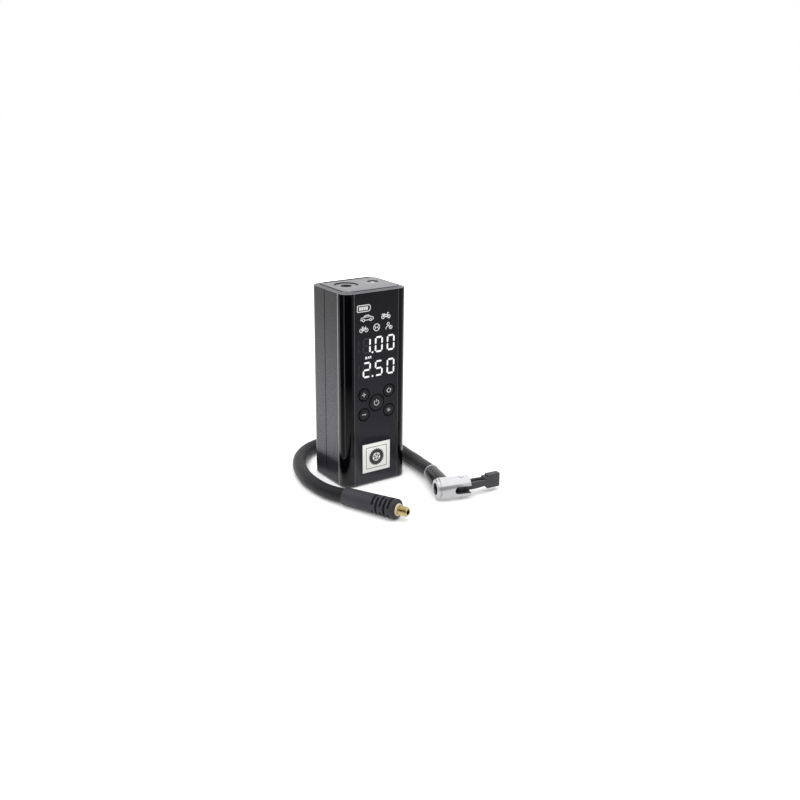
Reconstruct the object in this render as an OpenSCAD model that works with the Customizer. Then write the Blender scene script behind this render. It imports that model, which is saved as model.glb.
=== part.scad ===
// Portable tyre inflator: an upright battery pump with its detachable hose and lever chuck.
// X runs along the display face, -Y is the display side, Z is up, and the origin is the
// centre of the footprint on the surface that the pump stands on. All sizes are millimetres.

/* [Case] */
// Width of the case along the display face
case_w = 63; // [61:1:70]
// Depth of the case from the display face to the back
case_d = 55; // [53:1:62]
// Height of the top edge of the case walls
case_h = 170; // [168:1:185]
// Radius of the four upright corners
corner_r = 8; // [7:0.5:9]
// Thickness of the case walls
wall = 2.2; // [1.8:0.1:2.4]
// Depth of the glossy front cover, measured back from the display face
cover_d = 11; // [10:0.5:12]
// Distance of the rear parting line behind the case centre
rear_seam_y = 4; // [3:0.5:6]
// Width of the groove along the rear parting line
groove_w = 1.0; // [0.6:0.2:1.4]
// Depth of the groove along the rear parting line
groove_depth = 0.7; // [0.5:0.1:0.9]
// Height at which the groove starts above the surface
groove_z = 12; // [10:1:16]

/* [Ends of the case] */
// Height of the rubber feet that shows under the base
foot_show = 0.8; // [0.6:0.1:1.2]
// Radius of each rubber foot
foot_r = 4.5; // [3.5:0.5:5]
// Depth of the recess that holds each foot
foot_recess = 0.6; // [0.4:0.1:0.8]
// Thickness of the base
base_t = 2.2; // [2:0.1:2.8]
// Bevel around the lower edge of the base
base_bevel = 1; // [0.6:0.1:1.2]
// Height that the top cap's rim rises above the case walls
rim_rise = 1.2; // [0.8:0.1:1.4]
// Width of the sloping rim around the top plate
rim_w = 5; // [4.5:0.5:6]
// Depth of the top cap inside the case walls
plug_d = 3; // [2.5:0.5:3.5]
// Thickness of the inset top plate
plate_t = 2; // [1.8:0.1:2.2]
// Corner radius of the top plate
plate_r = 5; // [4:0.5:6]
// Height of the top plate above the case walls
plate_rise = 1.5; // [1.2:0.1:1.6]
// Width of one air slot in the top plate
vent_w = 1.1; // [0.9:0.1:1.3]
// Length of one air slot in the top plate
vent_l = 1.8; // [1.4:0.2:2]
// Spacing of the air slots
vent_pitch = 2.1; // [1.8:0.1:2.4]
// Number of air slots
vent_count = 22; // [12:1:22]

/* [Air outlet and lamp] */
// Distance of the outlet to the left of the case centre
outlet_dx = 10.8; // [10.2:0.2:12]
// Distance of the outlet and the lamp behind the case centre
outlet_y = 3; // [1:0.5:5]
// Radius of the shallow dish around the outlet
dish_r = 10.4; // [9:0.2:11]
// Depth of the dish around the outlet
dish_depth = 1; // [0.8:0.1:1.2]
// Radius of the outlet opening in the top plate
outlet_hole_r = 4.75; // [4.4:0.05:5]
// Core radius of the M8 x 1 outlet thread
outlet_thread_r = 3.5; // [3.3:0.05:3.7]
// Depth of the outlet thread
outlet_thread_l = 8; // [7:0.5:8.5]
// Distance of the lamp to the right of the case centre
lamp_dx = 15.8; // [14.8:0.2:17]
// Radius of the lamp's opening in the top plate
lamp_r = 4.75; // [4.4:0.05:5]

/* [Display side] */
// Width of the glossy display panel
panel_w = 44; // [42:1:45]
// Thickness of the display panel
panel_t = 1; // [0.8:0.1:1.2]
// Width of the window behind the panel
window_w = 39; // [37:1:39]
// Height of the window behind the panel
window_h = 68; // [66:1:69]
// Distance of the window's top below the case walls' top edge
window_drop = 8; // [7.6:0.2:9]
// Distance of the power button's centre below the window
button_drop = 20; // [18:0.5:22]
// Distance of the outer buttons to each side of the power button
button_dx = 12.6; // [12.4:0.2:13.4]
// Distance of the outer buttons above and below the power button
button_dz = 8.8; // [8.4:0.2:10]
// Radius of the four outer buttons
button_r = 4.8; // [4.4:0.2:5]
// Radius of the power button
power_r = 6.8; // [6.4:0.2:7]
// Travel of each button
button_travel = 0.5; // [0.3:0.05:0.6]
// Width of the plain badge plate
badge_w = 28; // [24:1:32]
// Height of the plain badge plate
badge_h = 26; // [22:1:28]
// Height of the badge plate's centre above the surface
badge_z = 24.4; // [22:0.4:28]
// Thickness of the badge plate
badge_t = 0.6; // [0.5:0.05:0.7]

/* [Boards] */
// Distance from the front cover's inner face to the control board
board_gap = 3.8; // [3.6:0.1:4.2]
// Thickness of the circuit boards
board_t = 1.6; // [1:0.1:1.8]
// Half the width of the control board
board_half_w = 20.6; // [20:0.2:21.4]
// Distance of the power board's front face before the case centre
power_board_y = 4; // [3.6:0.2:6]
// Height of the power board's lower edge above the surface
power_board_z = 20; // [18:1:21]
// Height of the power board
power_board_h = 44; // [42:1:46]
// Height of the charging socket's centre above the surface
socket_z = 40; // [39:0.5:41]

/* [Battery] */
// Diameter of one battery cell
cell_d = 18.4; // [18.2:0.1:18.6]
// Length of one battery cell
cell_l = 65; // [64:0.5:66]
// Number of battery cells
cell_count = 2; // [1:1:2]
// Thickness of the cradle behind the cells
cradle_back = 2.4; // [1.6:0.2:2.6]
// Thickness of the metal straps that join the cells
strap_t = 0.4; // [0.3:0.1:0.5]

/* [Motor and gears] */
// Diameter of the motor can
motor_d = 24.4; // [23.6:0.2:24.8]
// Length of the motor without its rear boss
motor_l = 28; // [27:0.5:28.5]
// Thickness of the motor can
motor_wall = 0.9; // [0.8:0.1:1]
// Radius of the motor shaft
shaft_r = 1; // [0.9:0.05:1.2]
// Size of the gear teeth, as the gear module
tooth_m = 0.7; // [0.66:0.01:0.71]
// Number of teeth on the motor pinion
pinion_teeth = 12; // [12:1:13]
// Number of teeth on the crank gear
gear_teeth = 48; // [44:1:50]
// Thickness of the crank gear
gear_t = 4; // [3.6:0.1:4.2]
// Thickness of the pump frame's plates
frame_t = 3; // [2.6:0.1:3.2]
// Radius of the crank gear's axle
axle_r = 2; // [1.8:0.1:2.4]

/* [Pump] */
// Radius of the crank pin's circle
crank_throw = 5; // [4:0.25:5.5]
// Radius of the cylinder bore
bore_r = 9; // [8.6:0.1:9.2]
// Thickness of the cylinder wall
cylinder_wall = 1.6; // [1.4:0.1:1.8]
// Height of the piston
piston_h = 8; // [7.6:0.2:8.6]
// Thickness of the connecting rod
rod_t = 3.2; // [2.8:0.1:3.4]
// Width of the connecting rod's shank
rod_w = 5; // [4:0.25:5.5]
// Radius of the wrist pin and the crank pin
pin_r = 1.5; // [1.3:0.1:1.7]
// Half the width of the square cylinder head
head_half = 13; // [12.8:0.1:13.2]
// Height of the cylinder head
head_h = 5; // [4.8:0.1:5.6]
// Outer radius of the air tube inside the case
tube_r = 2.6; // [2.4:0.1:2.8]
// Bore radius of the air tube inside the case
tube_bore_r = 1.5; // [1.4:0.05:1.6]

/* [Hose] */
// Diameter of the hose
hose_d = 12; // [11:0.2:12.4]
// Length of the grip
grip_l = 52; // [46:1:56]
// Radius of the grip where the hose enters
grip_r_small = 7.4; // [7:0.1:7.4]
// Radius of the grip at the fitting
grip_r_large = 8.5; // [8:0.1:8.5]
// Number of strain relief slots in the grip
relief_count = 5; // [3:1:5]
// Radius of the brass M8 x 1 thread
fitting_r = 3.95; // [3.8:0.05:4]
// Length of the brass thread
fitting_l = 8.8; // [7:0.2:9.4]
// Bore radius of the brass fitting
fitting_bore_r = 1.9; // [1.6:0.1:2.2]
// Outer radius of the ferrule at the hose
ferrule_r = 6.4; // [6.3:0.1:6.6]
// Outer radius of the ferrule at the chuck
ferrule_base_r = 8; // [7.4:0.1:8.4]
// Outer radius of the crimp ring at the hose end of the ferrule
crimp_r = 6.7; // [6.6:0.1:7.2]
// Width of the crimp ring
crimp_w = 1.2; // [0.8:0.1:1.6]

/* [Chuck] */
// Radius of the chuck body
chuck_r = 9.2; // [8.9:0.1:9.4]
// Length of the chuck body
chuck_l = 29; // [28:0.5:31]
// Radius of the chuck's mouth
mouth_r = 5; // [4.8:0.1:5.2]
// Radius of the hole in the valve seal
valve_r = 4; // [3.9:0.05:4.1]
// Distance of the hose inlet behind the chuck's face
inlet_u = 8.5; // [8:0.5:10]
// Distance of the lever pin behind the chuck's face
pivot_u = 22; // [21.5:0.5:23]
// Radius of the lever pin
pivot_r = 1.6; // [1.4:0.1:1.8]
// Height of the lever slot
slot_h = 6.4; // [6.2:0.1:6.8]
// Distance from the lever pin to the near edge of the thumb pad
pad_reach = 26; // [23:1:28]
// Length and height of the square thumb pad
pad_size = 12.2; // [11:0.2:13]
// Thickness of the thumb pad
pad_t = 5.6; // [4.4:0.2:6]
// Resting angle of the lever away from the chuck's axis
lever_rest = 12; // [6:1:14]

/* [Hidden] */
$fn = 64;

// Clearances
seam = 0.15;        // visible joint between trim pieces
slip = 0.3;         // gap around loose inner pieces
run = 0.03;         // radial clearance of shafts and pins
pilot = 0.05;       // radial clearance of a screw in its pilot hole
over = 1;           // length by which a cutter passes the face that it cuts

// Case
base_z = foot_show;
base_top = base_z + base_t;
x_in = case_w / 2 - wall;
y_front = -case_d / 2;
y_back = case_d / 2;
y_front_in = y_front + wall;
y_back_in = y_back - wall;
cover_seam_y = y_front + cover_d;
boss_r = 3;
boss_h = 9;
boss_x = x_in - boss_r - 0.6;
boss_y = case_d / 2 - wall - boss_r - 0.6;
cap_bottom = case_h - plug_d;
plate_top = case_h + plate_rise;
plate_bottom = plate_top - plate_t;
plate_w = case_w - 2 * rim_w;
plate_d = case_d - 2 * rim_w;

// Machine screws: M2.5 for boards, frame and motor, M3 for the case and the cylinder head
m25_r = 1.1;
m25_head_r = 2.1;
m25_head_h = 1.4;
m25_l = 5;
m3_r = 1.4;
m3_head_r = 2.5;
m3_head_h = 1.6;
m3_l = 8;

// Control board and buttons
board_y = y_front_in + board_gap;
board_back = board_y + board_t;
board_top = cap_bottom - 0.5;
window_top = case_h - window_drop;
window_bottom = window_top - window_h;
button_z = window_bottom - button_drop;
board_foot = 26;
board_bottom = button_z - board_foot;
board_post_x = 15;
board_post_r = 1.9;
board_post_z = [board_bottom + 3, board_top - 2.1];
button_proud = 0.1;
button_gap = 0.25;
flange_t = 0.8;
flange_w = 0.8;
flange_y = y_front_in + 0.2;
switch_face = flange_y + flange_t + button_travel + 0.1;
switch_w = 5;
switch_h = 1.5;
outer_buttons = [[-1, 1], [-1, -1], [1, 1], [1, -1]];

// Battery pack
cell_r = cell_d / 2;
cell_pitch = cell_d + 0.6;
cell_fit = 0.15;
cell_y = y_back_in - cradle_back - cell_r - cell_fit;
cell_z = base_top + 1.2 + strap_t;
cell_top = cell_z + cell_l;
cradle_lip = 2;
cradle_side = 2.4;
strap_w = 8;
cradle_half = (cell_count - 1) * cell_pitch / 2 + cell_r + 1.8;

// Power board and its rails on the middle frame
pb_front = -power_board_y;
pb_half = x_in - 0.6;
choke_w = 10;
choke_h = 3.4;
driver_w = 12;
driver_l = 8;
driver_h = 2.6;
rail_t = 1.2;
rail_d = 2.2;
rail_l = 9;

// Cross webs of the middle frame
web_t = 2;
web_drop = 18;
web_back = pb_front - rail_t - 2 * slip;
socket_w = 9;
socket_h = 3.2;
socket_l = 7.4;

// Pump, set out from the middle of the case and from the top of the battery upwards
motor_r = motor_d / 2;
motor_boss = 1.6;
motor_boss_r = 4;
bell_l = 3;
spigot_l = 2;
magnet_t = 2;
magnet_space = 4;
magnet_split = 6;
bush_r = 2.5;
bush_l = 2.4;
motor_screw_d = 8;
stack_gap = 0.5;
pump_l = motor_l + motor_boss + frame_t + gear_t + rod_t / 2 + head_half + 2 * stack_gap + 1.2;
pump_x = pump_l / 2 - head_half;
pump_y = (board_back + y_back_in) / 2;
gear_x = pump_x - rod_t / 2 - stack_gap - 0.1 - gear_t;
frame_x = gear_x - stack_gap - frame_t;
motor_z = cell_top + strap_t + 1 + motor_r;
pitch_r = tooth_m * gear_teeth / 2;
pinion_pitch_r = tooth_m * pinion_teeth / 2;
addendum = 0.8 * tooth_m;
dedendum = 1.1 * tooth_m;
backlash = 0.12;
gear_z = motor_z + pitch_r + pinion_pitch_r;
gear_tip_r = pitch_r + addendum;
shelf_z = gear_z + gear_tip_r + stack_gap;
gusset = 8;
shelf_top = shelf_z + frame_t;
shelf_front = pump_y - head_half - 6;
shelf_back = pump_y + head_half + 0.3;
cylinder_r = bore_r + cylinder_wall;
flange_h = 2;
piston_r = bore_r - 0.1;
piston_low = shelf_z + 1.3;
piston_top = piston_low + piston_h;
wrist_z = piston_low + piston_h / 2;
crank_z = gear_z - crank_throw;
rod_l = wrist_z - crank_z;
cylinder_top = piston_top + 2 * crank_throw + 0.5;
valve_t = 1;
head_z = cylinder_top + valve_t;
head_top = head_z + head_h;
head_screw_d = head_half - 2.6;
small_end_r = pin_r + 1.2;
big_end_r = pin_r + 2.6;
clip_pocket_r = 4.2;
clip_pocket = 1.6;
gear_hole_r = 3;
gear_hole_ring = (pitch_r + clip_pocket_r) / 2;
wrist_half = piston_r - 1.9;

// Outlet port, and the air tube that joins its side nipple to the cylinder head's
tube_z = head_z + head_h / 2;
port_r = 6.2;
port_lead = 0.8;
port_top = plate_bottom - 0.1;
port_thread_z = port_top - port_lead - outlet_thread_l;
port_z = tube_z - tube_r - 1;
port_side = port_r - outlet_dx;
head_side = pump_x - head_half;
nipple_l = (head_side - port_side) / 2 - slip;
nipple_root = 0.5;
air_bore_r = 0.8;

// Hose, laid round the back of the pump from the grip to the chuck
hose_r = hose_d / 2;
hose_sides = 12;
hose_steps = 2;
lie_z = hose_r + 0.2;
grip_start = [-46.5, -51.8, 7.5];
ferrule_end = [41, -52.9, chuck_r + 0.4];
hose_route = [
  grip_start, [-50.7, -40, lie_z + 0.5], [-53.1, -29, lie_z], [-54.1, -17, lie_z], [-53.6, -3, lie_z],
  [-51, 11, lie_z], [-46.5, 25, lie_z], [-40, 38, lie_z], [-31, 50, lie_z], [-20, 59.2, lie_z],
  [-7, 64.8, lie_z], [7.9, 66.1, lie_z], [22.5, 62.7, lie_z], [35.5, 54.7, lie_z], [45.2, 43, lie_z],
  [50.9, 28.6, lie_z], [52.3, 13, lie_z], [50.4, -3, lie_z], [49.2, -17, lie_z + 0.3],
  [46.5, -30, lie_z + 1.1], [43.7, -41.6, lie_z + 2.4], ferrule_end
];

// Grip and fitting, on an axis that leaves the hose at the grip's small end
grip_yaw = -67.7;
grip_fall = 88.7;
relief_w = 1.6;
relief_pitch = 3.9;
relief_core_r = 5;
seal_t = 1;

// Chuck frame: the axis runs from the mouth to the lever, u along it and v towards the hose
chuck_yaw = -18;
chuck_z = ferrule_end[2];
inlet_v = 36.5;
chuck_dir = [cos(chuck_yaw), sin(chuck_yaw), 0];
hose_dir = [-sin(chuck_yaw), cos(chuck_yaw), 0];
chuck_mouth = ferrule_end - inlet_v * hose_dir - inlet_u * chuck_dir;
lip_r = chuck_r - 0.8;
lip_l = 2;
neck_r = chuck_r - 1.7;
neck_l = 1.2;
mouth_l = 11;
seal_start = 1.2;
inlet_bore_r = 1.4;
seal_l = inlet_u - inlet_bore_r - 0.1 - seal_start;
slot_start = pivot_u - 7.4;
pin_head_r = 2.4;
pin_head_h = 1;
hub_r = 4.2;
arm_v = 3.4;
arm_t = 2.2;
lever_h = slot_h - 0.4;
arm_end_h = 4.4;

// ---------- shared shapes ----------

// Rectangle with round corners, centred on the origin
module rounded_rect(w, d, r) {
  square([w - 2 * r, d], center = true);
  square([w, d - 2 * r], center = true);
  for (sx = [-1, 1], sy = [-1, 1])
    translate([sx * (w / 2 - r), sy * (d / 2 - r)])
      circle(r);
}

// Upright block with round corners
module rounded_block(w, d, r, h) {
  linear_extrude(h)
    rounded_rect(w, d, r);
}

// Cylinder along +Y that starts at y0
module y_cylinder(x, y0, z, r, h) {
  translate([x, y0, z])
    rotate([-90, 0, 0])
      cylinder(r = r, h = h);
}

// Cylinder along +X that starts at x0
module x_cylinder(x0, y, z, r, h) {
  translate([x0, y, z])
    rotate([0, 90, 0])
      cylinder(r = r, h = h);
}

// Slice of the case's walls between two planes across its depth
module case_wall(y0, y1) {
  intersection() {
    difference() {
      translate([0, 0, base_top])
        rounded_block(case_w, case_d, corner_r, case_h - base_top);
      translate([0, 0, base_top - over])
        rounded_block(case_w - 2 * wall, case_d - 2 * wall, corner_r - wall, case_h + 2 * over);
    }
    translate([-case_w, y0, 0])
      cube([2 * case_w, y1 - y0, case_h + over]);
  }
}

// Cutter for the groove along the rear parting line
module seam_groove() {
  for (side = [-1, 1])
    translate([side * case_w / 2 - groove_depth, rear_seam_y - groove_w / 2, groove_z])
      cube([2 * groove_depth, groove_w, case_h]);
}

// Screw boss on the base corner, with its web to the wall
module base_boss(sx, sy) {
  difference() {
    translate([0, 0, base_top]) {
      translate([sx * boss_x, sy * boss_y, 0])
        cylinder(r = boss_r, h = boss_h);
      translate([sx * (boss_x + x_in) / 2, sy * boss_y, boss_h / 2])
        cube([x_in - boss_x, 2, boss_h], center = true);
    }
    translate([sx * boss_x, sy * boss_y, base_top - over])
      cylinder(r = m3_r + pilot, h = m3_l + over);
  }
}

// Screw that stands on its head along +Z, with the seat under the head at z = 0
module screw(r, head_r, head_h, length) {
  translate([0, 0, -head_h])
    cylinder(r = head_r, h = head_h);
  cylinder(r = r, h = length);
}

// ---------- case ----------

module button_holes() {
  y_cylinder(0, y_front - over, button_z, power_r + button_gap, wall + 2 * over);
  for (p = outer_buttons)
    y_cylinder(p[0] * button_dx, y_front - over, button_z + p[1] * button_dz,
               button_r + button_gap, wall + 2 * over);
}

module board_posts() {
  for (sx = [-1, 1], z = board_post_z)
    difference() {
      y_cylinder(sx * board_post_x, y_front_in - 0.2, z, board_post_r, board_gap + 0.2);
      y_cylinder(sx * board_post_x, board_y - m25_l + board_t, z, m25_r + pilot, m25_l);
    }
}

module front_cover() {
  color([0.03, 0.03, 0.035]) {
    difference() {
      case_wall(y_front, cover_seam_y);
      translate([-panel_w / 2 - seam, y_front - over, 0])
        cube([panel_w + 2 * seam, panel_t + over, case_h + over]);
      translate([-window_w / 2, y_front - over, window_bottom])
        cube([window_w, wall + 2 * over, window_h]);
      button_holes();
    }
    board_posts();
    for (sx = [-1, 1])
      base_boss(sx, -1);
  }
}

module display_panel() {
  color([0.05, 0.05, 0.06])
    difference() {
      translate([-panel_w / 2, y_front, base_top])
        cube([panel_w, panel_t, case_h - base_top]);
      button_holes();
      translate([-badge_w / 2 - seam, y_front - over, badge_z - badge_h / 2 - seam])
        cube([badge_w + 2 * seam, badge_t - button_proud + over, badge_h + 2 * seam]);
    }
}

module badge_plate() {
  color([0.88, 0.88, 0.84])
    translate([-badge_w / 2, y_front - button_proud, badge_z - badge_h / 2])
      cube([badge_w, badge_t, badge_h]);
}

// Two short rails on each side that hold the power board's edges
module board_rails() {
  for (side = [-1, 1], z = [power_board_z + 2, power_board_z + power_board_h - 2 - rail_l],
       y = [pb_front - 0.2 - rail_t, pb_front + board_t + 0.2])
    translate([side > 0 ? x_in - rail_d : -x_in - over / 2, y, z])
      cube([rail_d + over / 2, rail_t, rail_l]);
}

// Ledges that carry the pump frame's shelf
module shelf_ledges() {
  for (side = [-1, 1])
    difference() {
      translate([side > 0 ? x_in - 4.6 : -x_in - over / 2, shelf_front + 0.2, shelf_z - m25_l - 1])
        cube([4.6 + over / 2, 5.4, m25_l + 1]);
      translate([side * (x_in - 2.4), shelf_front + 2.8, shelf_z - m25_l])
        cylinder(r = m25_r + pilot, h = m25_l + over);
    }
}

// Webs that tie the two side walls together: under the power board, under the motor and up high
module frame_webs() {
  for (z = [power_board_z - 1 - web_t, motor_z - motor_r - slip - web_t])
    translate([-x_in - over / 2, cover_seam_y, z])
      cube([2 * x_in + over, web_back - cover_seam_y, web_t]);
  translate([-x_in - over / 2, cover_seam_y, case_h - web_drop])
    cube([2 * x_in + over, pump_y - head_half - 1 - cover_seam_y, web_t]);
}

module mid_frame() {
  color([0.25, 0.25, 0.27])
    difference() {
      union() {
        case_wall(cover_seam_y, rear_seam_y);
        board_rails();
        shelf_ledges();
        frame_webs();
      }
      seam_groove();
      translate([x_in - over, pb_front - socket_h - 0.25, socket_z - socket_w / 2 - 0.25])
        cube([wall + 2 * over, socket_h + 0.5, socket_w + 0.5]);
    }
}

module rear_cover() {
  color([0.22, 0.22, 0.24])
    union() {
      difference() {
        case_wall(rear_seam_y, y_back);
        seam_groove();
      }
      for (sx = [-1, 1])
        base_boss(sx, 1);
    }
}

// Sloping rim with a plug that drops inside the case walls
module top_cap() {
  color([0.55, 0.55, 0.57])
    difference() {
      union() {
        translate([0, 0, case_h])
          hull() {
            rounded_block(case_w, case_d, corner_r, 0.2, $fn = 32);
            translate([0, 0, rim_rise - 0.1])
              rounded_block(plate_w + 1.2, plate_d + 1.2, plate_r, 0.1, $fn = 32);
          }
        translate([0, 0, cap_bottom])
          rounded_block(case_w - 2 * (wall + seam), case_d - 2 * (wall + seam),
                        corner_r - wall - seam, plug_d + 0.1);
      }
      translate([0, 0, plate_bottom])
        rounded_block(plate_w + 2 * seam, plate_d + 2 * seam, plate_r, plug_d + rim_rise);
      translate([0, 0, case_h + 0.45])
        difference() {
          rounded_block(case_w - 2.6, case_d - 2.6, corner_r - 1.3, rim_rise);
          translate([0, 0, -over])
            rounded_block(case_w - 4, case_d - 4, corner_r - 2, rim_rise + 2 * over);
        }
      translate([-outlet_dx, outlet_y, cap_bottom - over])
        cylinder(r = port_r + seam, h = plug_d + 2 * over);
      translate([lamp_dx, outlet_y, cap_bottom - over])
        cylinder(r = lamp_r + 0.85, h = plug_d + 2 * over);
      vent_slots(cap_bottom - over, plug_d + 2 * over);
    }
}

module vent_slots(z, h) {
  for (i = [0 : vent_count - 1])
    translate([(i - (vent_count - 1) / 2) * vent_pitch - vent_w / 2,
               plate_d / 2 - 1.4 - vent_l, z])
      cube([vent_w, vent_l, h]);
}

module top_plate() {
  color([0.66, 0.66, 0.68])
    difference() {
      translate([0, 0, plate_bottom])
        rounded_block(plate_w, plate_d, plate_r, plate_t);
      translate([-outlet_dx, outlet_y, plate_top - dish_depth])
        cylinder(r1 = dish_r - 1, r2 = dish_r, h = dish_depth);
      translate([-outlet_dx, outlet_y, plate_top - dish_depth - 0.01])
        cylinder(r = outlet_hole_r, h = dish_depth);
      translate([-outlet_dx, outlet_y, plate_bottom - over])
        cylinder(r = outlet_hole_r, h = plate_t + over);
      translate([lamp_dx, outlet_y, plate_bottom - over])
        cylinder(r = lamp_r, h = plate_t + 2 * over);
      vent_slots(plate_bottom - over, plate_t + 2 * over);
    }
}

module bottom_cap() {
  color([0.12, 0.12, 0.13])
    difference() {
      hull() {
        translate([0, 0, base_z])
          rounded_block(case_w - 2 * base_bevel, case_d - 2 * base_bevel,
                        corner_r - base_bevel, 0.1, $fn = 32);
        translate([0, 0, base_z + base_bevel])
          rounded_block(case_w, case_d, corner_r, base_t - base_bevel, $fn = 32);
      }
      for (sx = [-1, 1], sy = [-1, 1]) {
        translate([sx * foot_x(), sy * foot_y(), base_z - over])
          cylinder(r = foot_r + seam, h = foot_recess + over);
        translate([sx * boss_x, sy * boss_y, base_z - over])
          cylinder(r = m3_r + 0.15, h = base_t + 2 * over);
        translate([sx * boss_x, sy * boss_y, base_z - over])
          cylinder(r = m3_head_r + 0.2, h = base_t - 0.5 + over - 0.1);
      }
    }
}

// Places of the feet, inside the screws
function foot_x() = boss_x - m3_head_r - foot_r - 0.8;
function foot_y() = boss_y - 1.5;

module feet() {
  color([0.08, 0.08, 0.08])
    for (sx = [-1, 1], sy = [-1, 1])
      translate([sx * foot_x(), sy * foot_y(), 0])
        cylinder(r = foot_r, h = foot_show + foot_recess);
}

module case_screws() {
  color([0.5, 0.5, 0.52])
    for (sx = [-1, 1], sy = [-1, 1])
      translate([sx * boss_x, sy * boss_y, base_top - 0.6])
        screw(m3_r, m3_head_r, base_t - 1.2, m3_l - 1);
}

// ---------- buttons ----------

// Round key with a flange behind the cover
module button_cap(x, z, r) {
  color([0.04, 0.04, 0.045]) {
    y_cylinder(x, y_front - button_proud, z, r, flange_y - y_front + button_proud + 0.1);
    y_cylinder(x, flange_y, z, r + flange_w, flange_t);
  }
}

module button_plus() {
  button_cap(-button_dx, button_z + button_dz, button_r);
}

module button_minus() {
  button_cap(-button_dx, button_z - button_dz, button_r);
}

module button_power() {
  button_cap(0, button_z, power_r);
}

module button_mode() {
  button_cap(button_dx, button_z + button_dz, button_r);
}

module button_light() {
  button_cap(button_dx, button_z - button_dz, button_r);
}

// ---------- boards ----------

module control_board() {
  color([0.05, 0.3, 0.15])
    difference() {
      translate([-board_half_w, board_y, board_bottom])
        cube([2 * board_half_w, board_t, board_top - board_bottom]);
      for (sx = [-1, 1], z = board_post_z)
        y_cylinder(sx * board_post_x, board_y - over, z, m25_r + 0.2, board_t + 2 * over);
    }
}

module board_screws() {
  color([0.6, 0.6, 0.62])
    for (sx = [-1, 1], z = board_post_z)
      translate([sx * board_post_x, board_back, z])
        rotate([90, 0, 0])
          screw(m25_r, m25_head_r, m25_head_h, m25_l - 0.5);
}

module tact_switch(x, z) {
  translate([x - switch_w / 2, board_y - switch_h, z - switch_w / 2])
    cube([switch_w, switch_h, switch_w]);
  y_cylinder(x, switch_face, z, switch_w / 3, board_y - switch_face);
}

module tact_switches() {
  color([0.3, 0.3, 0.3]) {
    tact_switch(0, button_z);
    for (p = outer_buttons)
      tact_switch(p[0] * button_dx, button_z + p[1] * button_dz);
  }
}

module display_module() {
  color([0.9, 0.9, 0.9])
    translate([-window_w / 2 + slip, y_front + panel_t, window_bottom + slip])
      cube([window_w - 2 * slip, board_y - y_front - panel_t, window_h - 2 * slip]);
}

module power_board() {
  color([0.05, 0.25, 0.3]) {
    translate([-pb_half, pb_front, power_board_z])
      cube([2 * pb_half, board_t, power_board_h]);
    translate([-pb_half + choke_w, pb_front + board_t, power_board_z + choke_w])
      cube([choke_w, choke_h, choke_w]);
    translate([pb_half - 2 * driver_w, pb_front + board_t, power_board_z + power_board_h - 2 * driver_l])
      cube([driver_w, driver_h, driver_l]);
  }
}

module charge_socket() {
  color([0.75, 0.75, 0.77])
    translate([case_w / 2 - 0.3 - socket_l, pb_front - socket_h / 2, socket_z])
      rotate([0, 90, 0])
        difference() {
          rounded_block(socket_w, socket_h, socket_h / 2 - 0.05, socket_l);
          translate([0, 0, 0.8])
            difference() {
              rounded_block(socket_w - 0.6, socket_h - 0.6, socket_h / 2 - 0.35, socket_l);
              translate([-3.3, -0.35, -over])
                cube([6.6, 0.7, socket_l - 0.8]);
            }
        }
}

// ---------- battery ----------

function cell_x(i) = (i - (cell_count - 1) / 2) * cell_pitch;

module battery_cells() {
  color([0.2, 0.45, 0.7])
    for (i = [0 : cell_count - 1])
      translate([cell_x(i), cell_y, cell_z])
        cylinder(r = cell_r, h = cell_l);
}

module battery_cradle() {
  color([0.85, 0.85, 0.8])
    difference() {
      translate([-cradle_half, cell_y - cradle_lip, cell_z + 2])
        cube([2 * cradle_half, y_back_in - cell_y + cradle_lip, cell_l - 4]);
      for (i = [0 : cell_count - 1])
        translate([cell_x(i), cell_y, cell_z - over])
          cylinder(r = cell_r + cell_fit, h = cell_l + 2 * over);
      translate([-cradle_half + cradle_side, cell_y - cradle_lip - over, cell_z])
        cube([2 * (cradle_half - cradle_side), cradle_lip + over - 0.5, cell_l]);
    }
}

module cell_straps() {
  color([0.75, 0.75, 0.78]) {
    translate([cell_x(0) - strap_w / 2, cell_y - strap_w / 2, cell_top])
      cube([cell_x(cell_count - 1) - cell_x(0) + strap_w, strap_w, strap_t]);
    for (i = [0 : cell_count - 1])
      translate([cell_x(i) - strap_w / 2, cell_y - strap_w / 2, cell_z - strap_t])
        cube([strap_w, strap_w, strap_t]);
  }
}

// ---------- lamp ----------

module lamp_board() {
  color([0.9, 0.9, 0.85])
    translate([lamp_dx, outlet_y, cap_bottom - 1]) {
      cylinder(r = lamp_r + 2.2, h = 1);
      difference() {
        cylinder(r = lamp_r + 0.6, h = plug_d - 0.9);
        cylinder(r = lamp_r - 0.8, h = plug_d + over);
      }
      translate([-1.75, -1.75, 0])
        cube([3.5, 3.5, 2]);
    }
}

module lamp_lens() {
  color([0.95, 0.97, 1, 0.6])
    translate([lamp_dx, outlet_y, 0]) {
      translate([0, 0, cap_bottom + plug_d - 1.8])
        cylinder(r = lamp_r + 0.6, h = plate_bottom - cap_bottom - plug_d + 1.7);
      translate([0, 0, plate_bottom - 0.2])
        cylinder(r = lamp_r - seam, h = plate_t - 0.7);
    }
}

// ---------- outlet ----------

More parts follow.
